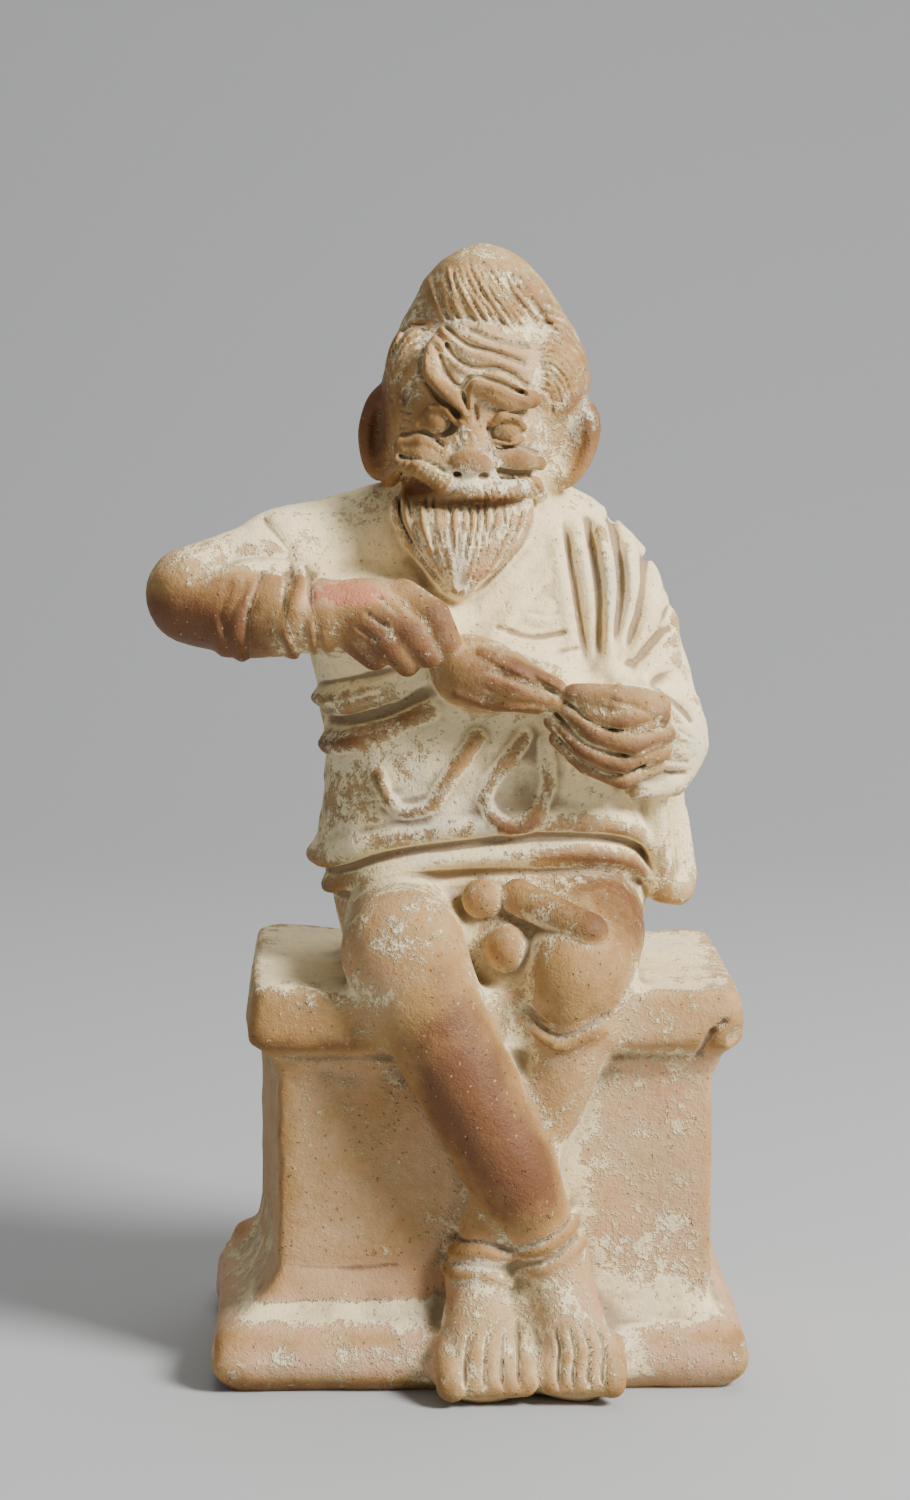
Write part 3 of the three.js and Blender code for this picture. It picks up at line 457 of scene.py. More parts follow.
def fold_mantle(clay):
    """Folds of the mantle fan down from the left shoulder and meet above the left wrist."""
    fans = [
        [[14.4, 131], [17, 121], [18.4, 109.6]],
        [[18, 130.4], [20, 121], [19.2, 109.6]],
        [[21.8, 128], [23.4, 120], [20.2, 109.6]],
        [[26, 123.6], [25.4, 117], [21, 109.4]],
        [[30, 117], [27, 112.4], [22.6, 108.8]],
    ]
    for fan in fans:
        clay.draw(fan, 2.6, 1, 4)
    wrist_roll = [[31, -9, 104, 2.6], [32, -9, 98, 2.8], [29, -10, 92.6, 2.6], [23, -14, 92, 2]]
    clay.add(limb(wrist_roll), 1.5)
    clay.add(limb([[28.4, 0, 92, 3.4], [29.6, 1, 84, 3.2], [30.4, 1, 75.4, 3.8]], 1.2), 1.5)
    hanging_edge = [
        [27, -8, 90, 1.8], [27.4, -6, 82, 2], [28.4, -3, 74.4, 2.6], [31, -1, 73.4, 2.4],
    ]
    clay.add(limb(hanging_edge), 1.5)


def fold_tunic(clay):
    """The tunic bulges over its girdle, with two rope loops, and ends in two rolled hems."""
    clay.draw([[-27.6, 100.4], [-16.4, 103.4], [-8.4, 107.6]], 1.7, -1.3, 0)
    clay.draw([[-28, 104.4], [-17.4, 107], [-9.4, 111.4]], 2, 0.8, 0)
    clay.draw([[-27.4, 96.8], [-18.4, 100], [-8.6, 104.2]], 2.2, 0.8, 0)
    hems = [
        ([[-28, 79], [-15.7, 84], [-4.6, 86], [7.4, 87.2], [17.2, 86.7], [24, 84.6], [28, 80]],
         2.8, 1),
        ([[-27, 76.2], [-15.7, 81.5], [-4.6, 83.5], [7.4, 84.7], [17.2, 84.2], [23.1, 82.2],
          [27.8, 77]], 1.3, -1),
        ([[-26, 73.8], [-15.7, 79.2], [-4.6, 81.2], [7.4, 82], [17.2, 81.4], [24, 79], [28, 73]],
         1.8, 1),
        ([[-26, 71.4], [-15.7, 76.8], [-4.6, 78.8], [7.4, 79.2], [17.2, 78.4], [24, 75.6]],
         1.2, -0.8),
    ]
    for path, width, height in hems:
        clay.draw(path, width, height, 4)
    rope_loops = [
        [[-16.6, 94], [-15.2, 90.6], [-12.6, 88.7], [-8.8, 89.8], [-5.4, 94.6], [-1.4, 100.3]],
        [[8.9, 99.3], [9.4, 93.1], [7.5, 88], [4.3, 85.8], [0.8, 88.5], [0.1, 92.4], [6, 100.4]],
    ]
    for loop in rope_loops:
        clay.draw(loop, 1.9, 1.1, -8)


def make_legs(clay):
    """Padded tights on the crossed legs, gathered in rings at knee and ankle."""
    clay.add(limb([[-11, 0, 72, 10], [-13, -16, 69.6, 9.2], [-13.2, -23.6, 68.6, 9.2]]), 2)
    clay.add(limb([[15, 0, 71, 10], [15.6, -12, 69, 9.6], [14, -22.6, 65.6, 8.2]]), 2)
    shins = [
        [[13.8, -23, 64, 8], [12.9, -23.4, 57, 7.2], [10.6, -23.6, 48, 5.8],
         [7, -23.4, 38, 4.8], [2, -24.4, 28, 4.6], [-1.2, -25.4, 18, 4.8]],
        [[-12.8, -24.4, 68, 9.2], [-8, -26.6, 57.6, 8.3], [-2.4, -27.4, 46.7, 7.8],
         [2.6, -27.4, 36.6, 7.2], [6.6, -27, 28.4, 6.2], [10.4, -26.4, 20.6, 4.9]],
    ]
    for shin in shins:
        clay.add(limb(shin), 2)
    between = [[4, -16, 67, 6.4], [5.4, -18.4, 56, 6.4], [4.6, -19, 32, 5.6], [4.4, -20, 10, 5]]
    clay.add(limb(between), 3)
    clay.add(ovoid([12.8, -26.4, 64.4], [6.4, 5.4, 6.4]), 0.6)
    rings = [
        ([[5.2, 59.8], [10.8, 56.4], [17.6, 59.2]], 1.4, -0.7),
        ([[5.2, 57.6], [10.6, 54.2], [17, 56.4]], 1.6, 0.6),
        ([[4.6, 22], [9.6, 24], [14.6, 27.4]], 1.2, 0.9),
        ([[4.6, 18.4], [9.6, 20.2], [15, 23.6]], 1.2, 0.9),
        ([[-7, 18.4], [-1.4, 19], [3.6, 17.2]], 1.3, 0.9),
        ([[-6.6, 21.4], [-1.2, 22.5], [3.4, 21.2]], 1.2, 0.8),
    ]
    for path, width, height in rings:
        clay.draw(path, width, height, -16)


def make_foot(clay, ankle, ball, toes):
    """A bare foot seen from above and in front, with its toes side by side."""
    instep = [lerp(ankle[0], ball[0], 0.5), -28.6, 10.6, 5.8]
    clay.add(limb([[*ankle, 4.8], instep, [*ball, 5.8]]), 2)
    clay.add(ovoid([ball[0], -31.6, 4.4], [7.6, 5.2, 4.6]), 2)
    for x, r in toes:
        clay.add(limb([[x, -30.4, 8, r], [x, -34.2, 5.6, r + 0.2], [x + 0.1, -36.2, 3.4, r]]), 1)


def make_feet(clay):
    """Both feet and the web of clay between them. Each toe is its place across and its radius."""
    left = [[-6, 2.3], [-2.5, 1.7], [0.4, 1.6], [3, 1.5], [5.3, 1.4]]
    right = [[9.2, 1.4], [11.4, 1.5], [13.7, 1.6], [16, 1.7], [18.4, 2.2]]
    make_foot(clay, [-1.2, -25.4, 18], [-1.6, -31, 6], left)
    make_foot(clay, [10.6, -26.4, 20], [13.6, -31, 6], right)
    clay.add(limb([[5.6, -23.6, 20, 4], [6.4, -26.4, 10, 4.4], [7.2, -29.4, 4.4, 4]]), 1.5)


def make_lap(clay):
    """The comic costume's padding, rolled up in the lap."""
    clay.add(ovoid([4, -9, 69], [14, 13, 8.6]), 3)
    clay.add(ovoid([-0.6, -19, 75.6], [3.3, 3.6, 3]), 0.6)
    clay.add(ovoid([2.8, -22.4, 68.4], [3.3, 4, 3.6]), 0.6)
    clay.add(limb([[4.8, -20.2, 76, 2.6], [10.2, -24.2, 74, 2.6], [15.4, -27.4, 72, 2.6]]), 0.5)


# Carving: the strands, wrinkles and folds that the mould left


def carve_hair(clay):
    """Long strands over the crown and fans of shorter ones at the temples."""
    crown_left = [[-8.3, 171.5], [-8.4, 168.6], [-7.1, 165.4], [-6.1, 163.8]]
    crown_middle = [[-2.3, 173.6], [-0.9, 169.8], [1.8, 166], [4.7, 161.9]]
    crown_right = [[4.6, 171.5], [6.6, 168], [9, 165.1], [12.6, 160.9]]
    clay.press_between(crown_left, crown_middle, 7, 0.65, -0.6, 0, 0.25)
    clay.press_between(crown_middle, crown_right, 7, 0.65, -0.6, 0, 0.25)
    clay.press_between(crown_left, crown_right, 9, 0.45, -0.3, 0, 0.5)
    temple_top = [[6.7, 162.1], [11.4, 161.5], [15, 157.4], [16.5, 152.7]]
    temple_middle = [[7.2, 159.8], [10.7, 159.3], [13.7, 156.3], [14.9, 152.2]]
    temple_ear = [[7.8, 153.4], [9.3, 152.5], [9.8, 151], [9.9, 148.7]]
    clay.press_between(temple_top, temple_middle, 3, 0.6, -0.5, 3, 0.2)
    clay.press_between(temple_middle, temple_ear, 7, 0.6, -0.6, 3, 0.15)
    right_side = [[8.6, 167], [13, 164.6], [16.4, 160]]
    clay.press_between(right_side, temple_top[:3], 4, 0.5, -0.35, 4, 0.2)
    left_top = [[-8.1, 163.8], [-11.1, 163.3], [-13.4, 161], [-14.9, 157.4]]
    left_ear = [[-9.2, 155.7], [-10.5, 153.9], [-11.7, 151.6], [-12.6, 149.8]]
    clay.press_between(left_top, left_ear, 9, 0.6, -0.75, 3, 0.2)
    left_side = [[-9.4, 169], [-11, 167.6], [-13, 164.6]]
    clay.press_between(left_side, left_top[:3], 4, 0.5, -0.35, 4, 0.2)
    # plainer strands round the back
    cut, x, y, z = clay.window([-20, -1, 140], [20, 20, 178])
    around = np.arctan2(x - 0.6, y + 0.5)
    strands = np.sin(around * 30 + 1.6 * np.sin(z * 0.33) + 2 * around)
    clay.d[cut] += 0.22 * strands * smoothstep(y, 0, 5) * smoothstep(z, 141, 146)


def carve_face(clay):
    """Knotted forehead, lids, and the creases round the nose and cheeks."""
    wrinkles = [
        [[-6, 162.7], [-3, 160.3], [1.1, 159.2], [5.7, 157.4]],
        [[-2.4, 162.4], [1, 161], [6.2, 159.8]],
        [[-7.2, 161.8], [-4.8, 158.3], [-1.9, 156.9], [2.2, 156.6], [6, 154.2]],
        [[-7.8, 160.1], [-6.3, 156.4], [-4.2, 154], [-2.2, 155.7], [1.1, 154.9], [5.8, 152.8]],
        [[-9.8, 159.4], [-10, 156], [-7.6, 152.6], [-4.4, 149.8]],
    ]
    for wrinkle in wrinkles:
        clay.draw(wrinkle, 0.75, -0.7, -8)
        clay.draw(np.array(wrinkle) + [0.3, -1.1], 0.9, 0.35, -8)
    for frown in ([[-3.6, 153], [-3, 150.2]], [[-1.9, 152.6], [-1.6, 149]]):
        clay.draw(frown, 0.6, -0.6, -12)
    lids = [
        [[-10, -12.8, 149, 0.5], [-8.6, -14.4, 150.7, 0.65], [-6.3, -15.4, 150.5, 0.65],
         [-4.7, -15.6, 148.4, 0.5]],
        [[-9.4, -13.2, 146.7, 0.5], [-6.9, -14.9, 145.6, 0.6], [-4.5, -15.6, 146.6, 0.5]],
        [[0.8, -16, 148.3, 0.5], [2.2, -16.3, 149.5, 0.65], [4.5, -15.9, 149.2, 0.65],
         [5.7, -14.8, 147.6, 0.5]],
        [[1, -16, 145.8, 0.5], [3.4, -16.2, 145, 0.6], [5.4, -15, 146, 0.5]],
    ]
    for lid in lids:
        clay.add(limb(lid), 0.5)
    for x, y, z in [[-4.6, -18.6, 141], [-0.6, -18.6, 140.7]]:
        clay.cut(ovoid([x, y, z], [0.9, 1.4, 0.6]), 0.5)
    clay.draw([[-12.6, 146.4], [-9.8, 147], [-6.8, 145]], 0.7, -0.6, -8)
    clay.draw([[-13, 143.2], [-9.8, 142.8], [-6.6, 141.4]], 0.7, -0.7, -8)
    clay.draw([[-12.4, 144.8], [-9.6, 145], [-7, 143.8]], 0.6, -0.35, -8)
    clay.draw([[1.6, 144.8], [4.8, 144.8], [7.8, 143.6]], 0.6, -0.5, -8)
    clay.draw([[1.2, 141.4], [4.4, 140.8], [7.8, 140.8]], 0.7, -0.6, -8)
    eye_corner = [[-13.4, 150.8], [-11, 150]], [[-13.6, 147], [-10.8, 147]]
    nose_root = [[-5, 147], [-4.2, 145.2]], [[-1.4, 147], [-1, 145.2]]
    clay.press_between(*eye_corner, 3, 0.5, -0.35, -6)
    clay.press_between(*nose_root, 3, 0.5, -0.3, -12)


def carve_beard(clay):
    """Wavy strands drawn down to the beard's point, and the moustache combed out to each side."""
    left = [[-13.8, 138], [-13.4, 133.4], [-10, 127.4], [-5.4, 122]]
    right = [[8.6, 137.4], [7.4, 132], [3, 126.6], [-2, 121.6]]
    clay.press_between(left, right, 17, 0.62, -0.5, -8, 0.3)
    clay.press_between(left, right, 22, 0.4, -0.25, -8, 0.5)
    mouth = [[-13, -13.4, 138.8, 1.3], [-10, -15.4, 138, 1.5], [-6.2, -17.4, 136.8, 0.9]]
    clay.cut(limb(mouth), 0.4)
    left_half = [[-3.6, 140.4], [-5.4, 137.4]], [[-12.4, 143.6], [-15, 139.6]]
    right_half = [[-1.6, 140.2], [-0.4, 136.4]], [[6.6, 140.8], [9, 137]]
    clay.press_between(*left_half, 11, 0.45, -0.4, -6, 0.1)
    clay.press_between(*right_half, 10, 0.45, -0.4, -6, 0.1)


def carve_clothes(clay):
    """Soft folds of tunic and mantle, worked before the arms lie over them."""
    clay.draw([[10.5, 126], [4.4, 119.6], [1, 114]], 1.8, 0.4, -4)
    clay.draw([[2, 116.8], [7, 115.2], [12.4, 115.8]], 0.8, -0.5, -6)
    clay.draw([[3, 114.2], [9, 112.8], [14, 113.4]], 0.8, -0.5, -6)
    clay.draw([[6.6, 118.2], [10.4, 117.6], [13.2, 119]], 0.9, 0.4, -6)
    clay.press_between([[-26, 97], [-14, 101]], [[-26.4, 108], [-14, 112]], 4, 0.7, -0.35, 0, 0.5)
    clay.press_between([[-20, 92], [-8, 96]], [[-21, 84], [-6, 86]], 3, 1.8, -0.25, -4, 0.8)


def carve_sleeves(clay):
    """Creases of the right sleeve, and the folds at its shoulder."""
    creases = [
        [[-39.2, 124], [-40.6, 118.9], [-37.4, 113.6]],
        [[-34.6, 125], [-36.4, 119.8], [-36.6, 113]],
        [[-30.8, 125], [-30.6, 118.9], [-28.2, 112.6]],
        [[-27.6, 126], [-26.4, 119.6], [-25.4, 113]],
    ]
    for crease in creases:
        clay.draw(crease, 0.8, -0.55, 0)
    clay.draw([[-34, 133], [-30.4, 128.6], [-29.8, 124]], 0.9, -0.5, 3)
    clay.draw([[-45, 124.4], [-37, 127.4], [-31, 127.4]], 1.1, -0.4, 0)


def carve_mantle(clay):
    """Sharp valleys between the pleats, and the gathers at the wrist and in the hanging end."""
    valleys = [
        [[15.6, 134.6], [17.3, 122.7], [18.2, 110]],
        [[19.4, 134.6], [21, 124.2], [19.7, 110]],
        [[25.6, 128], [24.2, 120.6], [20.8, 110]],
        [[30, 116.4], [26, 114], [21.4, 110]],
    ]
    for valley in valleys:
        clay.draw(valley, 1.6, -1.05, 6, 0.15)
    pleats = [
        [[17.6, 134], [19.2, 123.4], [19, 111]],
        [[22.4, 131], [22.6, 122.4], [20.2, 111]],
        [[28.4, 121.6], [25.4, 117], [21.4, 111]],
        [[31, 111.6], [27, 110.4], [23, 108]],
    ]
    for pleat in pleats:
        clay.draw(pleat, 1.8, 0.8, 6, 0.15)
    clay.draw([[10.4, 134], [12.2, 122], [13.8, 111]], 1.5, 0.5, 2, 0.2)
    clay.draw([[12.3, 134], [13.9, 122], [15.6, 111]], 0.9, -0.6, 2, 0.2)
    wrist = [[25.6, 109], [29.6, 106], [32.6, 102]], [[24.4, 95], [28, 93], [32, 93]]
    hanging_end = [[28, 91], [28.4, 83], [29, 76]], [[32.4, 91], [33, 83], [33.6, 76]]
    clay.press_between(*wrist, 5, 0.8, -0.5, 2, 0.3)
    clay.press_between(*hanging_end, 4, 0.7, -0.45, 8, 0.3)


def carve_hands(clay):
    """Creases between the fingers and over the gathered purse."""
    knuckles = [[-17, 124.4], [-12.4, 121]], [[-21, 117.4], [-17.4, 114.6]]
    clay.press_between(*knuckles, 3, 0.6, -0.4, -14, 0.2)
    clay.draw([[1.4, 113.6], [5.4, 111.6], [9.9, 108.4]], 0.7, -0.4, -12)
    clay.draw([[0, 111.4], [4, 109.8], [9, 107.4]], 0.6, -0.35, -12)
    purse = [[-1, 109.6], [3, 107.8], [8.4, 106.8]], [[-2, 106.4], [2, 104.8], [8.4, 105]]
    clay.press_between(*purse, 3, 0.5, -0.3, -12, 0.2)
    grooves = [
        [[11.6, 106.9], [17.1, 102.9], [23.5, 103.4], [26.2, 104.6]],
        [[10.2, 105], [14.4, 100.6], [20.8, 98.8], [26.2, 100.4]],
        [[9.8, 102.7], [13.4, 98.4], [18.9, 95.8], [25.3, 97.4]],
    ]
    for groove in grooves:
        clay.draw(groove, 0.6, -0.5, -12)
    clay.draw([[18, 107.4], [23, 105.8], [26.4, 103]], 0.6, -0.35, -12)


def carve_legs(clay):
    """Fine gathers of the tights round the bent knee and both ankles."""
    knee = [[4.4, 62.4], [10.4, 58.4], [18.4, 61.4]], [[5, 56], [10.6, 52.8], [16.4, 55]]
    right_ankle = [[4.6, 14.8], [9.6, 16.4], [15, 19.8]], [[4.6, 25.4], [9.6, 27.6], [14.6, 31]]
    left_ankle = [[-7, 15.4], [-1.4, 15.6], [3.6, 14]], [[-6.6, 24.6], [-1.2, 25.6], [3.4, 24.2]]
    clay.press_between(*knee, 4, 0.5, -0.35, -14)
    clay.press_between(*right_ankle, 3, 0.6, -0.5, -16)
    clay.press_between(*left_ankle, 3, 0.6, -0.45, -16)


def carve_toes(clay):
    """Grooves between the toes, closing in towards the middle as they run up the foot."""
    for x in [-3.9, -1, 1.7, 4.2, 10.3, 12.5, 14.8, 17]:
        groove = [[x, 2.2], [x - 0.1, 5.6], [x + 0.2, 9], [lerp(x, 5.6, 0.14), 12.6]]
        clay.draw(groove, 0.65, -0.6, -20, 0.25)


# The altar: how far each level of it stands out from the die
OVERHANG = [
    [0, PLINTH_OVERHANG - CORNER_WEAR],
    [PLINTH_TOP * 0.15, PLINTH_OVERHANG - CORNER_WEAR * 0.35],
    [PLINTH_TOP * 0.4, PLINTH_OVERHANG],
    [PLINTH_TOP * 0.85, PLINTH_OVERHANG - 1],
    [PLINTH_TOP, PLINTH_OVERHANG * 0.5],
    [lerp(PLINTH_TOP, SWEEP_TOP, 0.35), 1.4],
    [SWEEP_TOP, 0],
    [FILLET_BOTTOM, 0],
    [lerp(FILLET_BOTTOM, SLAB_BOTTOM, 0.4), 1.1],
    [SLAB_BOTTOM, 1.5],
    [SLAB_BOTTOM + 1.2, SLAB_OVERHANG],
    [lerp(SLAB_BOTTOM, SEAT, 0.35), SLAB_OVERHANG + 0.5],
    [SEAT, SLAB_OVERHANG - 0.4],
]
STEP_BLUR = (-0.9, -0.3, 0.3, 0.9)  # each level is averaged over these heights about it


def altar_distance(x, y, z):
    """The altar's own distance, with its rubbed edges, splayed die and tilted slab."""
    levels, outs = zip(*OVERHANG)
    out = sum(np.interp(z + step, levels, outs) for step in STEP_BLUR) / len(STEP_BLUR)
    above = smoothstep(z, PLINTH_TOP, SWEEP_TOP)
    die = above * (1 - smoothstep(z, FILLET_BOTTOM, SLAB_BOTTOM + 2))
    shift = ALTAR_SHIFT * (2 * above - 1)
    splay = np.where(x < 0, DIE_SPLAY, 0) * die * np.clip(y / DIE_DEPTH + 0.5, 0, 1)
    sideways = np.abs(x - shift) - DIE_WIDTH / 2 - out - splay
    outward = np.abs(y) - DIE_DEPTH / 2 - out
    wear = CORNER_WEAR * lerp(0.4, 1, np.clip(out / 3, 0, 1))
    top = SEAT + SLAB_TILT * smoothstep(-x, DIE_WIDTH / 4, DIE_WIDTH / 2)
    return smooth_max(smooth_max(sideways, outward, wear), z - top, CORNER_WEAR / 2)


def add_altar(clay):
    """Joins the altar to the figure, with the chip under the slab's right front corner."""
    cut, x, y, z = clay.window([-60, -40, -5], [60, 40, SEAT + 6])
    altar = altar_distance(x, y, z)
    corner = [ALTAR_SHIFT + DIE_WIDTH / 2 + SLAB_OVERHANG, -DIE_DEPTH / 2 - SLAB_OVERHANG]
    _, _, chip = ovoid([*corner, SLAB_BOTTOM + 2.4], [2.6, 3.2, 2.2])
    altar = smooth_max(altar, -chip(x, y, z), 1)
    clay.d[cut] = smooth_min(clay.d[cut], altar, 2.5)


def wear_altar(clay):
    """The lump at the plinth's back corner, scored lines, and the crack at the slab's corner."""
    clay.add(limb([[-38, 19, 12, 2.6], [-39.6, 20, 6, 3], [-40, 16, 3, 2.6]]), 3)
    clay.draw([[-31, 18.6], [-22, 18], [-14, 18.4]], 0.7, -0.25, -12)
    clay.draw([[-33.2, 28], [-33.6, 22], [-36.6, 13]], 0.9, 0.25, -14)
    clay.draw([[-33, 37], [-33.4, 34.6], [-32.6, 32.6]], 0.6, -0.3, -14)
    clay.draw([[36.8, 58.2], [33.8, 55.4], [32.3, 51.4]], 1, -1, -14, 0.1)
    clay.draw([[34.4, 56], [33.2, 54.2]], 1, -1.2, -14)


def model():
    """All forms in the order in which they lie over one another, cut flat at the ground."""
    clay = Clay(*ROOM)
    steps = (
        make_trunk, make_shoulders, fold_tunic, carve_clothes, make_legs, carve_legs,
        make_feet, carve_toes, make_lap, make_left_arm, fold_mantle, carve_mantle,
        make_right_arm, carve_sleeves, make_purse, make_right_hand, make_left_hand, carve_hands,
        make_head, carve_hair, make_beard, make_face, carve_beard, carve_face,
        add_altar, wear_altar,
    )
    for step in steps:
        step(clay)
    for size, amount in UNEVENNESS:
        clay.roughen(size, amount)
    z = clay.axes[2][None, None, :]
    clay.d = np.clip(np.maximum(clay.d, -z), -REACH, REACH)
    return clay


def mesh_of(clay):
    """The clay's surface as a mesh in metres."""
    grid = openvdb.FloatGrid(background=REACH)
    grid.copyFromArray(np.ascontiguousarray(clay.d))
    points, triangles, quads = grid.convertToPolygons(isovalue=0)
    points = points * CELL + clay.low
    points[:, 2] = np.maximum(points[:, 2], 0)
    faces = [face[::-1] for face in triangles.tolist() + quads.tolist()]
    mesh = bpy.data.meshes.new("seated_figure_on_altar_clay")
    mesh.from_pydata((points * UNIT).tolist(), [], faces)
    return mesh


# The carving from the neck up, and the hands, keep finer triangles than the rest. Each line is
# centre and radii.
FINE = [[[-1, -4, 148], [19, 30, 30]], [[2, -20, 112], [30, 14, 14]]]
PLAIN_WEIGHT = 2e-6  # how strongly thinning prefers the plain parts


def reduced(mesh, triangles):
    """The same surface with fewer triangles, most of them taken from the plain parts."""
    points = points_of(mesh)
    plain = np.ones(len(points), dtype=bool)
    for centre, radii in FINE:
        plain &= (((points - centre) / radii) ** 2).sum(axis=1) > 1
    worked = bpy.data.objects.new("worked", mesh)
    bpy.context.scene.collection.objects.link(worked)
    group = worked.vertex_groups.new(name="plain")
    group.add(np.flatnonzero(plain).tolist(), 1, "REPLACE")
    total = sum(len(face.vertices) - 2 for face in mesh.polygons)
    decimate = worked.modifiers.new("fewer", "DECIMATE")
    decimate.ratio = min(1, triangles / total)
    decimate.vertex_group = group.name
    decimate.vertex_group_factor = PLAIN_WEIGHT
    seen = worked.evaluated_get(bpy.context.evaluated_depsgraph_get())
    result = bpy.data.meshes.new_from_object(seen)
    bpy.data.objects.remove(worked)
    bpy.data.meshes.remove(mesh)
    result.shade_smooth()
    return result


def points_of(mesh):
    """The mesh's points in the drawing's millimetres."""
    points = np.empty(len(mesh.vertices) * 3)
    mesh.vertices.foreach_get("co", points)
    return points.reshape(-1, 3) / UNIT


# Colour: how much slip, burnish and pink each region keeps, brushed on one over another.
# A few regions paint shade: they brown the clay and thin the slip on the tunic's shaded side,
# under the raised arm and hand, on the head's shaded side and under the moustache.
# Each line is centre, radii, then slip, burnish together with painted shade, and pink.
FIRST_COAT = [0.55, 0.2, 0.2]
BRUSH_HARDNESS = 1.1
BRUSH_STRENGTH = 1.5
REGIONS = [
    [[0, 0, 36], [60, 60, 30], 0.3, 0.3, 0.25],
    [[30, -20, 36], [24, 30, 26], 0.4, 0.1, 0.4],
    [[0, 0, 4], [60, 50, 9], 0.42, 0.08, 0.75],
    [[-24, -24, 16], [30, 10, 4], 0.12, 0.2, 0.3],
    [[-24, -26, 12], [30, 12, 1.1], 0.72, 0, 0.3],
    [[30, -24, 14], [24, 9, 3.4], 0.58, 0, 0.3],
    [[-20, -30, 0.5], [40, 20, 1.8], 0.3, 0.55, 0],
    [[-30, -24, 57], [40, 10, 6], 0.3, 0.4, 0.2],
    [[34, -24, 57], [16, 10, 6], 0.42, 0.2, 0.2],
    [[0, 0, 64], [60, 40, 3], 0.72, 0.1, 0.3],
    [[8, -23, 40], [7, 5, 26], 0.8, 0, 0.2],
    [[14, -27, 48], [7, 8, 9], 0.4, 0.2, 0.2],
    [[15, -31, 64], [9, 7, 8], 0.3, 0.35, 0.1],
    [[22, -12, 74], [9, 14, 7], 0.3, 0.75, -0.5],
    [[-13, -30, 72], [11, 12, 10], 0.42, 0.2, 0.4],
    [[-4, -35, 50], [8, 7, 18], 0.05, 0.74, -0.6],
    [[4, -34, 34], [8, 7, 14], 0.08, 0.7, -0.6],
    [[5, -34, 20], [16, 9, 7], 0.46, 0.12, 0.3],
    [[5, -36, 6], [18, 10, 10], 0.48, 0.25, 0.35],
    [[-3, -16, 92], [34, 14, 14], 0.62, 0.4, 0.15],
    # painted shade: the tunic's side away from the key light, and the arm's shadow under the
    # raised arm and hand
    [[-24, -10, 90], [8, 14, 14], 0.48, 0.5, 0.1],
    [[-20, -14, 104], [13, 10, 7], 0.44, 0.6, 0.1],
    [[-16, -15, 110], [10, 8, 5], 0.4, 0.75, 0],
    [[-9, -19, 92], [9, 6, 6], 0.54, 0.4, 0.1],
    [[5, -19, 92], [6, 6, 8], 0.54, 0.4, 0.1],
    [[3, -16, 81], [34, 14, 2.4], 0.85, 0.1, 0.2],
    [[17, -18, 76], [11, 12, 7], 0.24, 0.75, -0.5],
    [[5, -20, 71], [11, 12, 8], 0.46, 0.3, 0.3],
    [[-8, -10, 118], [30, 16, 14], 0.74, 0.1, 0.2],
    [[-28, 0, 131], [18, 14, 7], 0.7, 0.1, 0.35],
    [[-36, -15, 123], [12, 8, 4], 0.4, 0.4, 0.3],
    [[-42, -12, 117], [14, 10, 6], 0, 1, -0.3],
    [[24, -4, 116], [14, 20, 20], 0.95, -0.1, 0.2],
    [[32, -2, 114], [5, 14, 11], 0.6, 0.15, 0.3],
    [[31, -2, 90], [7, 14, 16], 0.74, 0.05, 0.3],
    [[-14, -22, 118], [12, 7, 8], 0.3, 0.66, -0.3],
    [[-20.5, -20, 123], [8, 8, 2.6], 0.3, 0.2, 1.3],
    [[2, -22, 110], [11, 8, 7], 0.32, 0.55, -0.3],
    [[20, -25, 101], [11, 7, 9], 0.42, 0.52, -0.3],
    [[0, 0, 158], [26, 22, 20], 0.42, 0.42, 0.2],
    # painted shade: the temple and the gap round the ear on the side away from the key light
    [[-14, -6, 154], [6, 12, 12], 0.44, 0.5, 0],
    [[-16.6, -3, 148], [2.2, 7, 7], 0.2, 0.9, 0],
    [[14, -4, 149], [6, 8, 8], 0.36, 0.4, 0.5],
    [[-4, -13, 158], [9, 6, 6], 0.58, -0.1, 0.3],
    [[4, -14, 158], [6, 5, 4], 0.5, 0.1, 0.1],
    [[-9, -14, 149], [6, 6, 6], 0.36, 0.42, 0.1],
    [[0, -18, 146], [9, 5, 5], 0.38, 0.3, 0.4],
    [[-3, -18, 139], [13, 7, 3.6], 0.66, 0.2, 0.15],
    [[-3, -18, 129], [13, 7, 9], 0.52, 0.15, 0.2],
    # painted shadow: the mouth under the moustache's overhang, browned and bare of slip
    [[-11, -14, 138.4], [4, 5, 1.4], -0.4, 1, 0],
    [[0, -17, 136.4], [9, 4, 0.8], 0.1, 0.8, 0],
]

# How far round a point the clay is averaged, and the depth of hollow that counts as 1
HOLLOWS = {"fine": (0.8, 0.3), "broad": (2.4, 0.8)}


def sampled(volume, points):
    """The volume's value at each point, straight between cells."""
    place = np.clip(points, 0, np.array(volume.shape) - 1.001)
    index = place.astype(int)
    share = place - index
    total = np.zeros(len(points))
    for corner in np.ndindex(2, 2, 2):
        weight = np.prod(np.where(corner, share, 1 - share), axis=1)
        total += weight * volume[tuple((index + corner).T)]
    return total


def averaged(volume, reach):
    """The volume's mean over this many cells each way."""
    for axis in range(3):
        pad = [(reach, reach) if n == axis else (0, 0) for n in range(3)]
        padded = np.pad(volume, pad, mode="edge")
        count = volume.shape[axis]
        steps = [np.take(padded, range(n, n + count), axis=axis) for n in range(2 * reach + 1)]
        volume = sum(steps) / len(steps)
    return volume


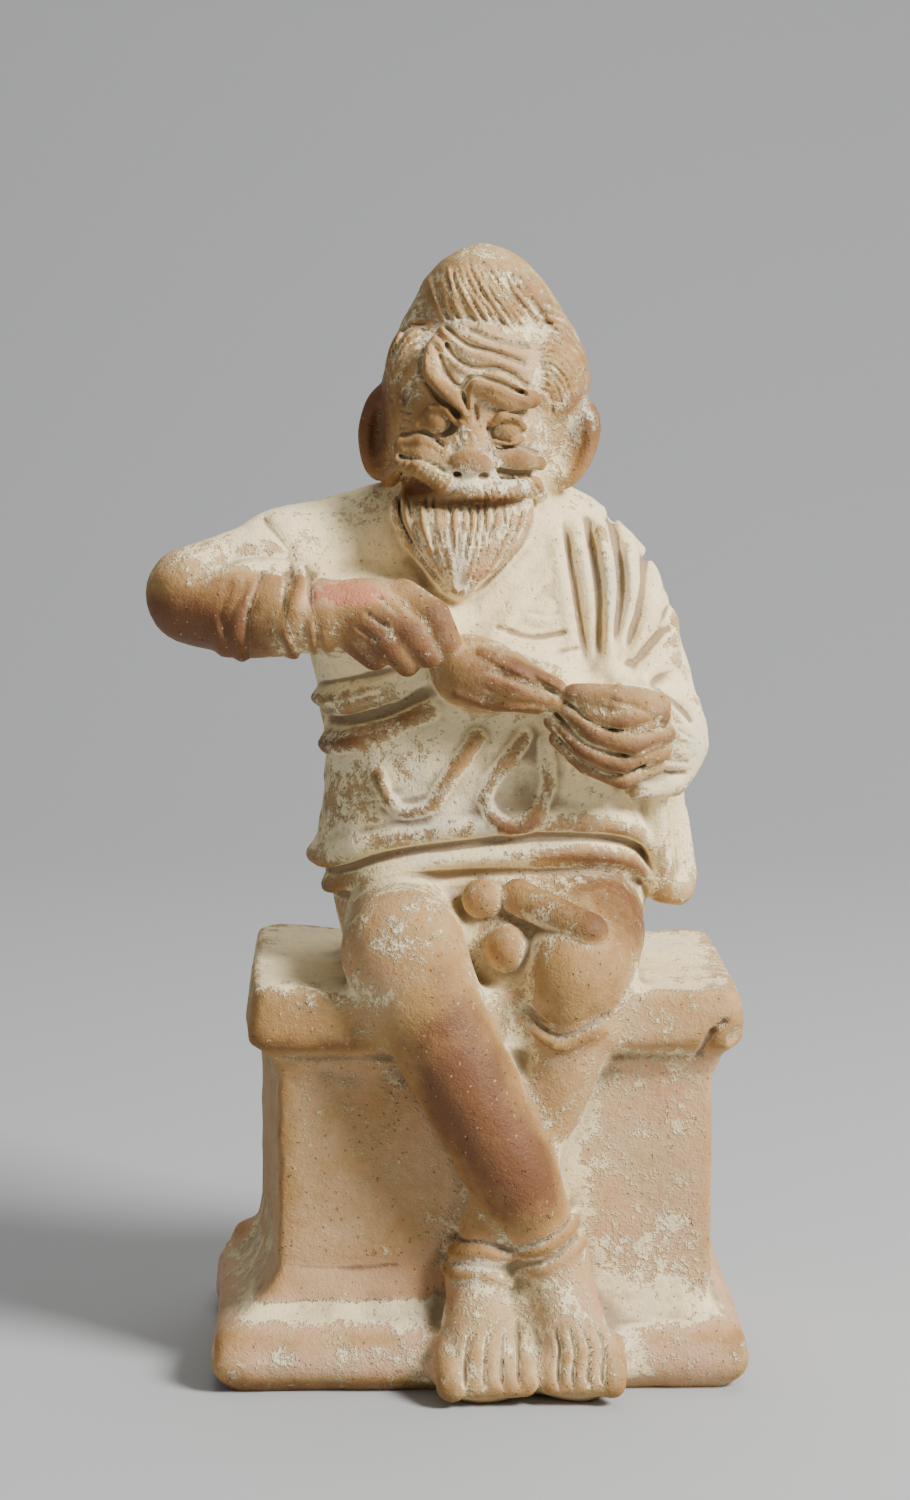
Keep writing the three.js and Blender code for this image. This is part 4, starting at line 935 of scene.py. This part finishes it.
def brush_on(mesh, clay):
    """Writes slip, burnish with painted shade, pink and both hollows on each point for the
    material to read.
    """
    points = points_of(mesh)
    cells = (points - clay.low) / CELL
    hollows = {
        name: -sampled(averaged(clay.d, round(reach / CELL)), cells) / depth
        for name, (reach, depth) in HOLLOWS.items()
    }
    fine, broad = [np.clip(hollow, -1, 1) for hollow in hollows.values()]
    tones = np.tile(FIRST_COAT, (len(points), 1))
    for centre, radii, *tone in REGIONS:
        away = (((points - centre) / radii) ** 2).sum(axis=1)
        share = np.exp(-BRUSH_HARDNESS * away) * BRUSH_STRENGTH
        tones = lerp(tones, np.array(tone), np.minimum(share, 1)[:, None])
    tones[:, 0] += 0.2 * broad + 0.08 * fine  # slip stays in the hollows
    # the burnish value also carries the regions' painted shade
    values = {"slip": tones[:, 0], "burnish_and_shade": tones[:, 1], "pink": tones[:, 2], **hollows}
    for name, value in values.items():
        attribute = mesh.attributes.new(name, "FLOAT", "POINT")
        attribute.data.foreach_set("value", np.clip(value, -1, 1).astype(np.float32))


class Shader:
    """Short names for building a material's nodes."""

    def __init__(self, name):
        self.material = bpy.data.materials.new(name)
        self.material.use_nodes = True
        self.tree = self.material.node_tree
        self.surface = self.tree.nodes["Principled BSDF"]

    def node(self, kind, **settings):
        node = self.tree.nodes.new(kind)
        for key, value in settings.items():
            setattr(node, key, value)
        return node

    def put(self, socket, value):
        if isinstance(value, bpy.types.NodeSocket):
            self.tree.links.new(value, socket)
        elif isinstance(value, tuple):
            socket.default_value = (*value, 1)
        else:
            socket.default_value = value

    def attribute(self, name):
        return self.node("ShaderNodeAttribute", attribute_name=name).outputs["Fac"]

    def noise(self, size, detail=3, rough=0.6, seed=0):
        """Noise whose features are about the given size in millimetres."""
        place = self.node("ShaderNodeTexCoord").outputs["Object"]
        shifted = self.node("ShaderNodeMapping")
        self.put(shifted.inputs["Vector"], place)
        shifted.inputs["Location"].default_value = (seed * 0.31, seed * 0.17, seed * 0.23)
        texture = self.node("ShaderNodeTexNoise")
        self.put(texture.inputs["Vector"], shifted.outputs[0])
        texture.inputs["Scale"].default_value = 1 / (size * UNIT)
        texture.inputs["Detail"].default_value = detail
        texture.inputs["Roughness"].default_value = rough
        return texture.outputs["Fac"]

    def maths(self, operation, a, b=0.0):
        node = self.node("ShaderNodeMath", operation=operation)
        self.put(node.inputs[0], a)
        self.put(node.inputs[1], b)
        return node.outputs[0]

    def total(self, *terms):
        """The sum of (value, weight) terms."""
        result = 0.0
        for value, weight in terms:
            result = self.maths("ADD", result, self.maths("MULTIPLY", value, weight))
        return result

    def ramp(self, value, low, high):
        node = self.node("ShaderNodeMapRange", interpolation_type="SMOOTHSTEP")
        for socket, amount in zip(node.inputs[:3], (value, low, high)):
            self.put(socket, amount)
        return node.outputs[0]

    def mix(self, share, under, over):
        node = self.node("ShaderNodeMix", data_type="RGBA")
        for socket, value in ((0, share), (6, under), (7, over)):
            self.put(node.inputs[socket], value)
        return node.outputs[2]

    def veil(self, share, most, under, over):
        """Like mix, with the upper colour never thicker than most."""
        return self.mix(self.maths("MULTIPLY", share, most), under, over)


TAN = (0.52, 0.325, 0.165)
ORANGE = (0.50, 0.255, 0.11)
BROWN = (0.165, 0.066, 0.023)
PINK = (0.62, 0.37, 0.235)
RED = (0.50, 0.17, 0.085)
CREAM = (0.93, 0.77, 0.44)
GREY_SLIP = (0.74, 0.66, 0.48)
OCHRE = (0.42, 0.235, 0.075)
# dark brown for grime and for painted shade in the hollows; the pits use it too
DIRT_AND_SHADE = (0.14, 0.07, 0.033)
BARE_ROUGHNESS = 0.66
BUMP_DEPTH = 0.45


def fired_clay():
    """Tan to orange clay, burnished and worn brown, under flaking cream slip and grime, with
    painted shade browning some regions and darkening the hollows.
    """
    shade = Shader("fired_clay_with_slip")
    slip, burnish_and_shade, pink = [shade.attribute(name) for name in ("slip", "burnish_and_shade", "pink")]
    fine, broad = shade.attribute("fine"), shade.attribute("broad")
    large, patch = shade.noise(16, 3, 0.6, 1), shade.noise(5, 5, 0.7, 2)
    speck, grain = shade.noise(1.6, 4, 0.75, 3), shade.noise(0.5, 2, 0.7, 4)
    # the clay itself, whose browns also paint shade in a few regions
    body = shade.mix(shade.ramp(large, 0.35, 0.65), TAN, ORANGE)
    rosy = shade.total((pink, 1), (patch, 0.5), (large, 0.3))
    body = shade.mix(shade.ramp(rosy, 0.6, 1.1), body, PINK)
    # burnish also carries painted shade, so these browns paint shade as well as wear
    wear_and_shade = shade.total((burnish_and_shade, 1), (patch, 0.6), (large, 0.4), (broad, -0.3))
    body = shade.mix(shade.ramp(wear_and_shade, 0.6, 0.95), body, OCHRE)
    body = shade.mix(shade.ramp(wear_and_shade, 0.75, 1.35), body, BROWN)
    painted = shade.total((pink, 1), (speck, 1), (patch, 0.7))
    body = shade.mix(shade.ramp(painted, 1.68, 1.84), body, RED)
    # slip, rubbed thin and then flaked
    scumble = shade.total((slip, 1.2), (speck, 0.8), (patch, 0.8))
    body = shade.veil(shade.ramp(scumble, 1.05, 1.8), 0.55, body, CREAM)
    covered = shade.total(
        (slip, 1.5), (patch, 1.3), (speck, 1), (grain, 0.6), (large, 0.4), (fine, 0.08)
    )
    flaked = shade.ramp(covered, 2.24, 2.48)
    white = shade.mix(shade.ramp(large, 0.5, 0.72), CREAM, GREY_SLIP)
    white = shade.veil(shade.ramp(speck, 0.5, 0.7), 0.35, white, TAN)
    skin = shade.veil(flaked, 0.92, body, white)
    # dirt and painted shade in the hollows, dark pits and pale dust
    grime_and_shade = shade.total((fine, 1), (broad, 0.6), (patch, 0.6), (speck, 0.3))
    skin = shade.veil(shade.ramp(grime_and_shade, 0.52, 1.4), 0.75, skin, DIRT_AND_SHADE)
    pits = shade.ramp(shade.noise(0.8, 1, 0.5, 5), 0.7, 0.78)
    skin = shade.veil(pits, 0.25, skin, DIRT_AND_SHADE)
    dust = shade.ramp(shade.noise(0.7, 1, 0.5, 6), 0.7, 0.76)
    skin = shade.veil(dust, 0.3, skin, CREAM)
    shade.put(shade.surface.inputs["Base Color"], skin)
    matt = shade.total((burnish_and_shade, -0.25), (grain, 0.15), (flaked, 0.12))
    shade.put(shade.surface.inputs["Roughness"], shade.maths("ADD", matt, BARE_ROUGHNESS))
    shade.surface.inputs["Specular IOR Level"].default_value = 0.35
    height = shade.total((speck, 0.5), (grain, 0.35), (pits, -0.6), (flaked, 0.45))
    bump = shade.node("ShaderNodeBump")
    bump.inputs["Strength"].default_value = 1
    bump.inputs["Distance"].default_value = BUMP_DEPTH * UNIT
    shade.put(bump.inputs["Height"], height)
    shade.put(shade.surface.inputs["Normal"], bump.outputs[0])
    return shade.material


def make_statuette():
    """The one moulded piece, in place of the part's only node."""
    clay = model()
    mesh = reduced(mesh_of(clay), TRIANGLES)
    brush_on(mesh, clay)
    mesh.materials.append(fired_clay())
    piece = bpy.data.objects.new("moulded_clay", mesh)
    bpy.context.scene.collection.objects.link(piece)
    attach(piece, "root")
    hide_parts("seated_figure_on_altar")


# The studio: a pale sweep of paper, a large soft light from the right and a weak fill
PAPER = (0.41, 0.418, 0.412)


def make_backdrop():
    """A floor that curves up behind the figure."""
    front, bend, radius, top, side = -1.2, 0.45, 0.6, 1.8, 1.6
    curve = [
        (bend + radius * math.sin(turn), radius * (1 - math.cos(turn)))
        for turn in np.linspace(0, math.pi / 2, 16)
    ]
    profile = [(front, 0), *curve, (bend + radius, top)]
    points = [(x, y, z) for y, z in profile for x in (-side, side)]
    faces = [(n, n + 1, n + 3, n + 2) for n in range(0, len(points) - 2, 2)]
    mesh = bpy.data.meshes.new("paper")
    mesh.from_pydata(points, [], faces)
    mesh.shade_smooth()
    shade = Shader("paper")
    shade.put(shade.surface.inputs["Base Color"], PAPER)
    shade.put(shade.surface.inputs["Roughness"], 0.95)
    mesh.materials.append(shade.material)
    paper = bpy.data.objects.new("paper", mesh)
    bpy.context.scene.collection.objects.link(paper)


# The lamps: name, place, size and power
LIGHTS = [
    ("key", (0.62, -0.48, 0.66), 0.3, 21),
    ("top", (0.05, 0.25, 0.9), 0.6, 3.5),
    ("fill", (-0.7, -0.7, 0.3), 0.8, 0.9),
]
LIT = Vector((0, 0, 0.09))  # where all of them point
SKY = (0.96, 0.98, 1, 1)
SKY_STRENGTH = 0.2


def make_light(name, place, size, power):
    light = bpy.data.lights.new(name, "AREA")
    light.size = size
    light.energy = power
    holder = bpy.data.objects.new(name, light)
    holder.location = place
    holder.rotation_euler = (LIT - Vector(place)).to_track_quat("-Z", "Y").to_euler()
    bpy.context.scene.collection.objects.link(holder)


def light_studio():
    """Three soft lights and an even glow from all round."""
    for light in LIGHTS:
        make_light(*light)
    world = bpy.data.worlds.new("studio")
    world.use_nodes = True
    glow = world.node_tree.nodes["Background"]
    glow.inputs["Color"].default_value = SKY
    glow.inputs["Strength"].default_value = SKY_STRENGTH
    bpy.context.scene.world = world


def place_camera():
    """The photograph's viewpoint: a long lens, a little above the figure and to its right."""
    pitch, yaw = math.radians(8.32), math.radians(1.7)
    distance, height, aim = 0.595, 0.183, -0.0044
    focal, frame_height = 3800, 1500  # pixels of the photograph
    level = math.cos(pitch)
    ahead = Vector((math.sin(yaw) * level, math.cos(yaw) * level, -math.sin(pitch)))
    right = Vector((math.cos(yaw), -math.sin(yaw), 0))
    up = right.cross(ahead)
    place = Vector((aim - distance * math.sin(yaw), -distance * math.cos(yaw), height))
    data = bpy.data.cameras.new("camera")
    data.sensor_fit = "VERTICAL"
    data.sensor_height = 36
    data.lens = focal / frame_height * data.sensor_height
    camera = bpy.data.objects.new("camera", data)
    turned = Matrix((right, up, -ahead)).transposed().to_4x4()
    camera.matrix_world = Matrix.Translation(place) @ turned
    bpy.context.scene.collection.objects.link(camera)
    bpy.context.scene.camera = camera


place_camera()
make_statuette()
make_backdrop()
light_studio()
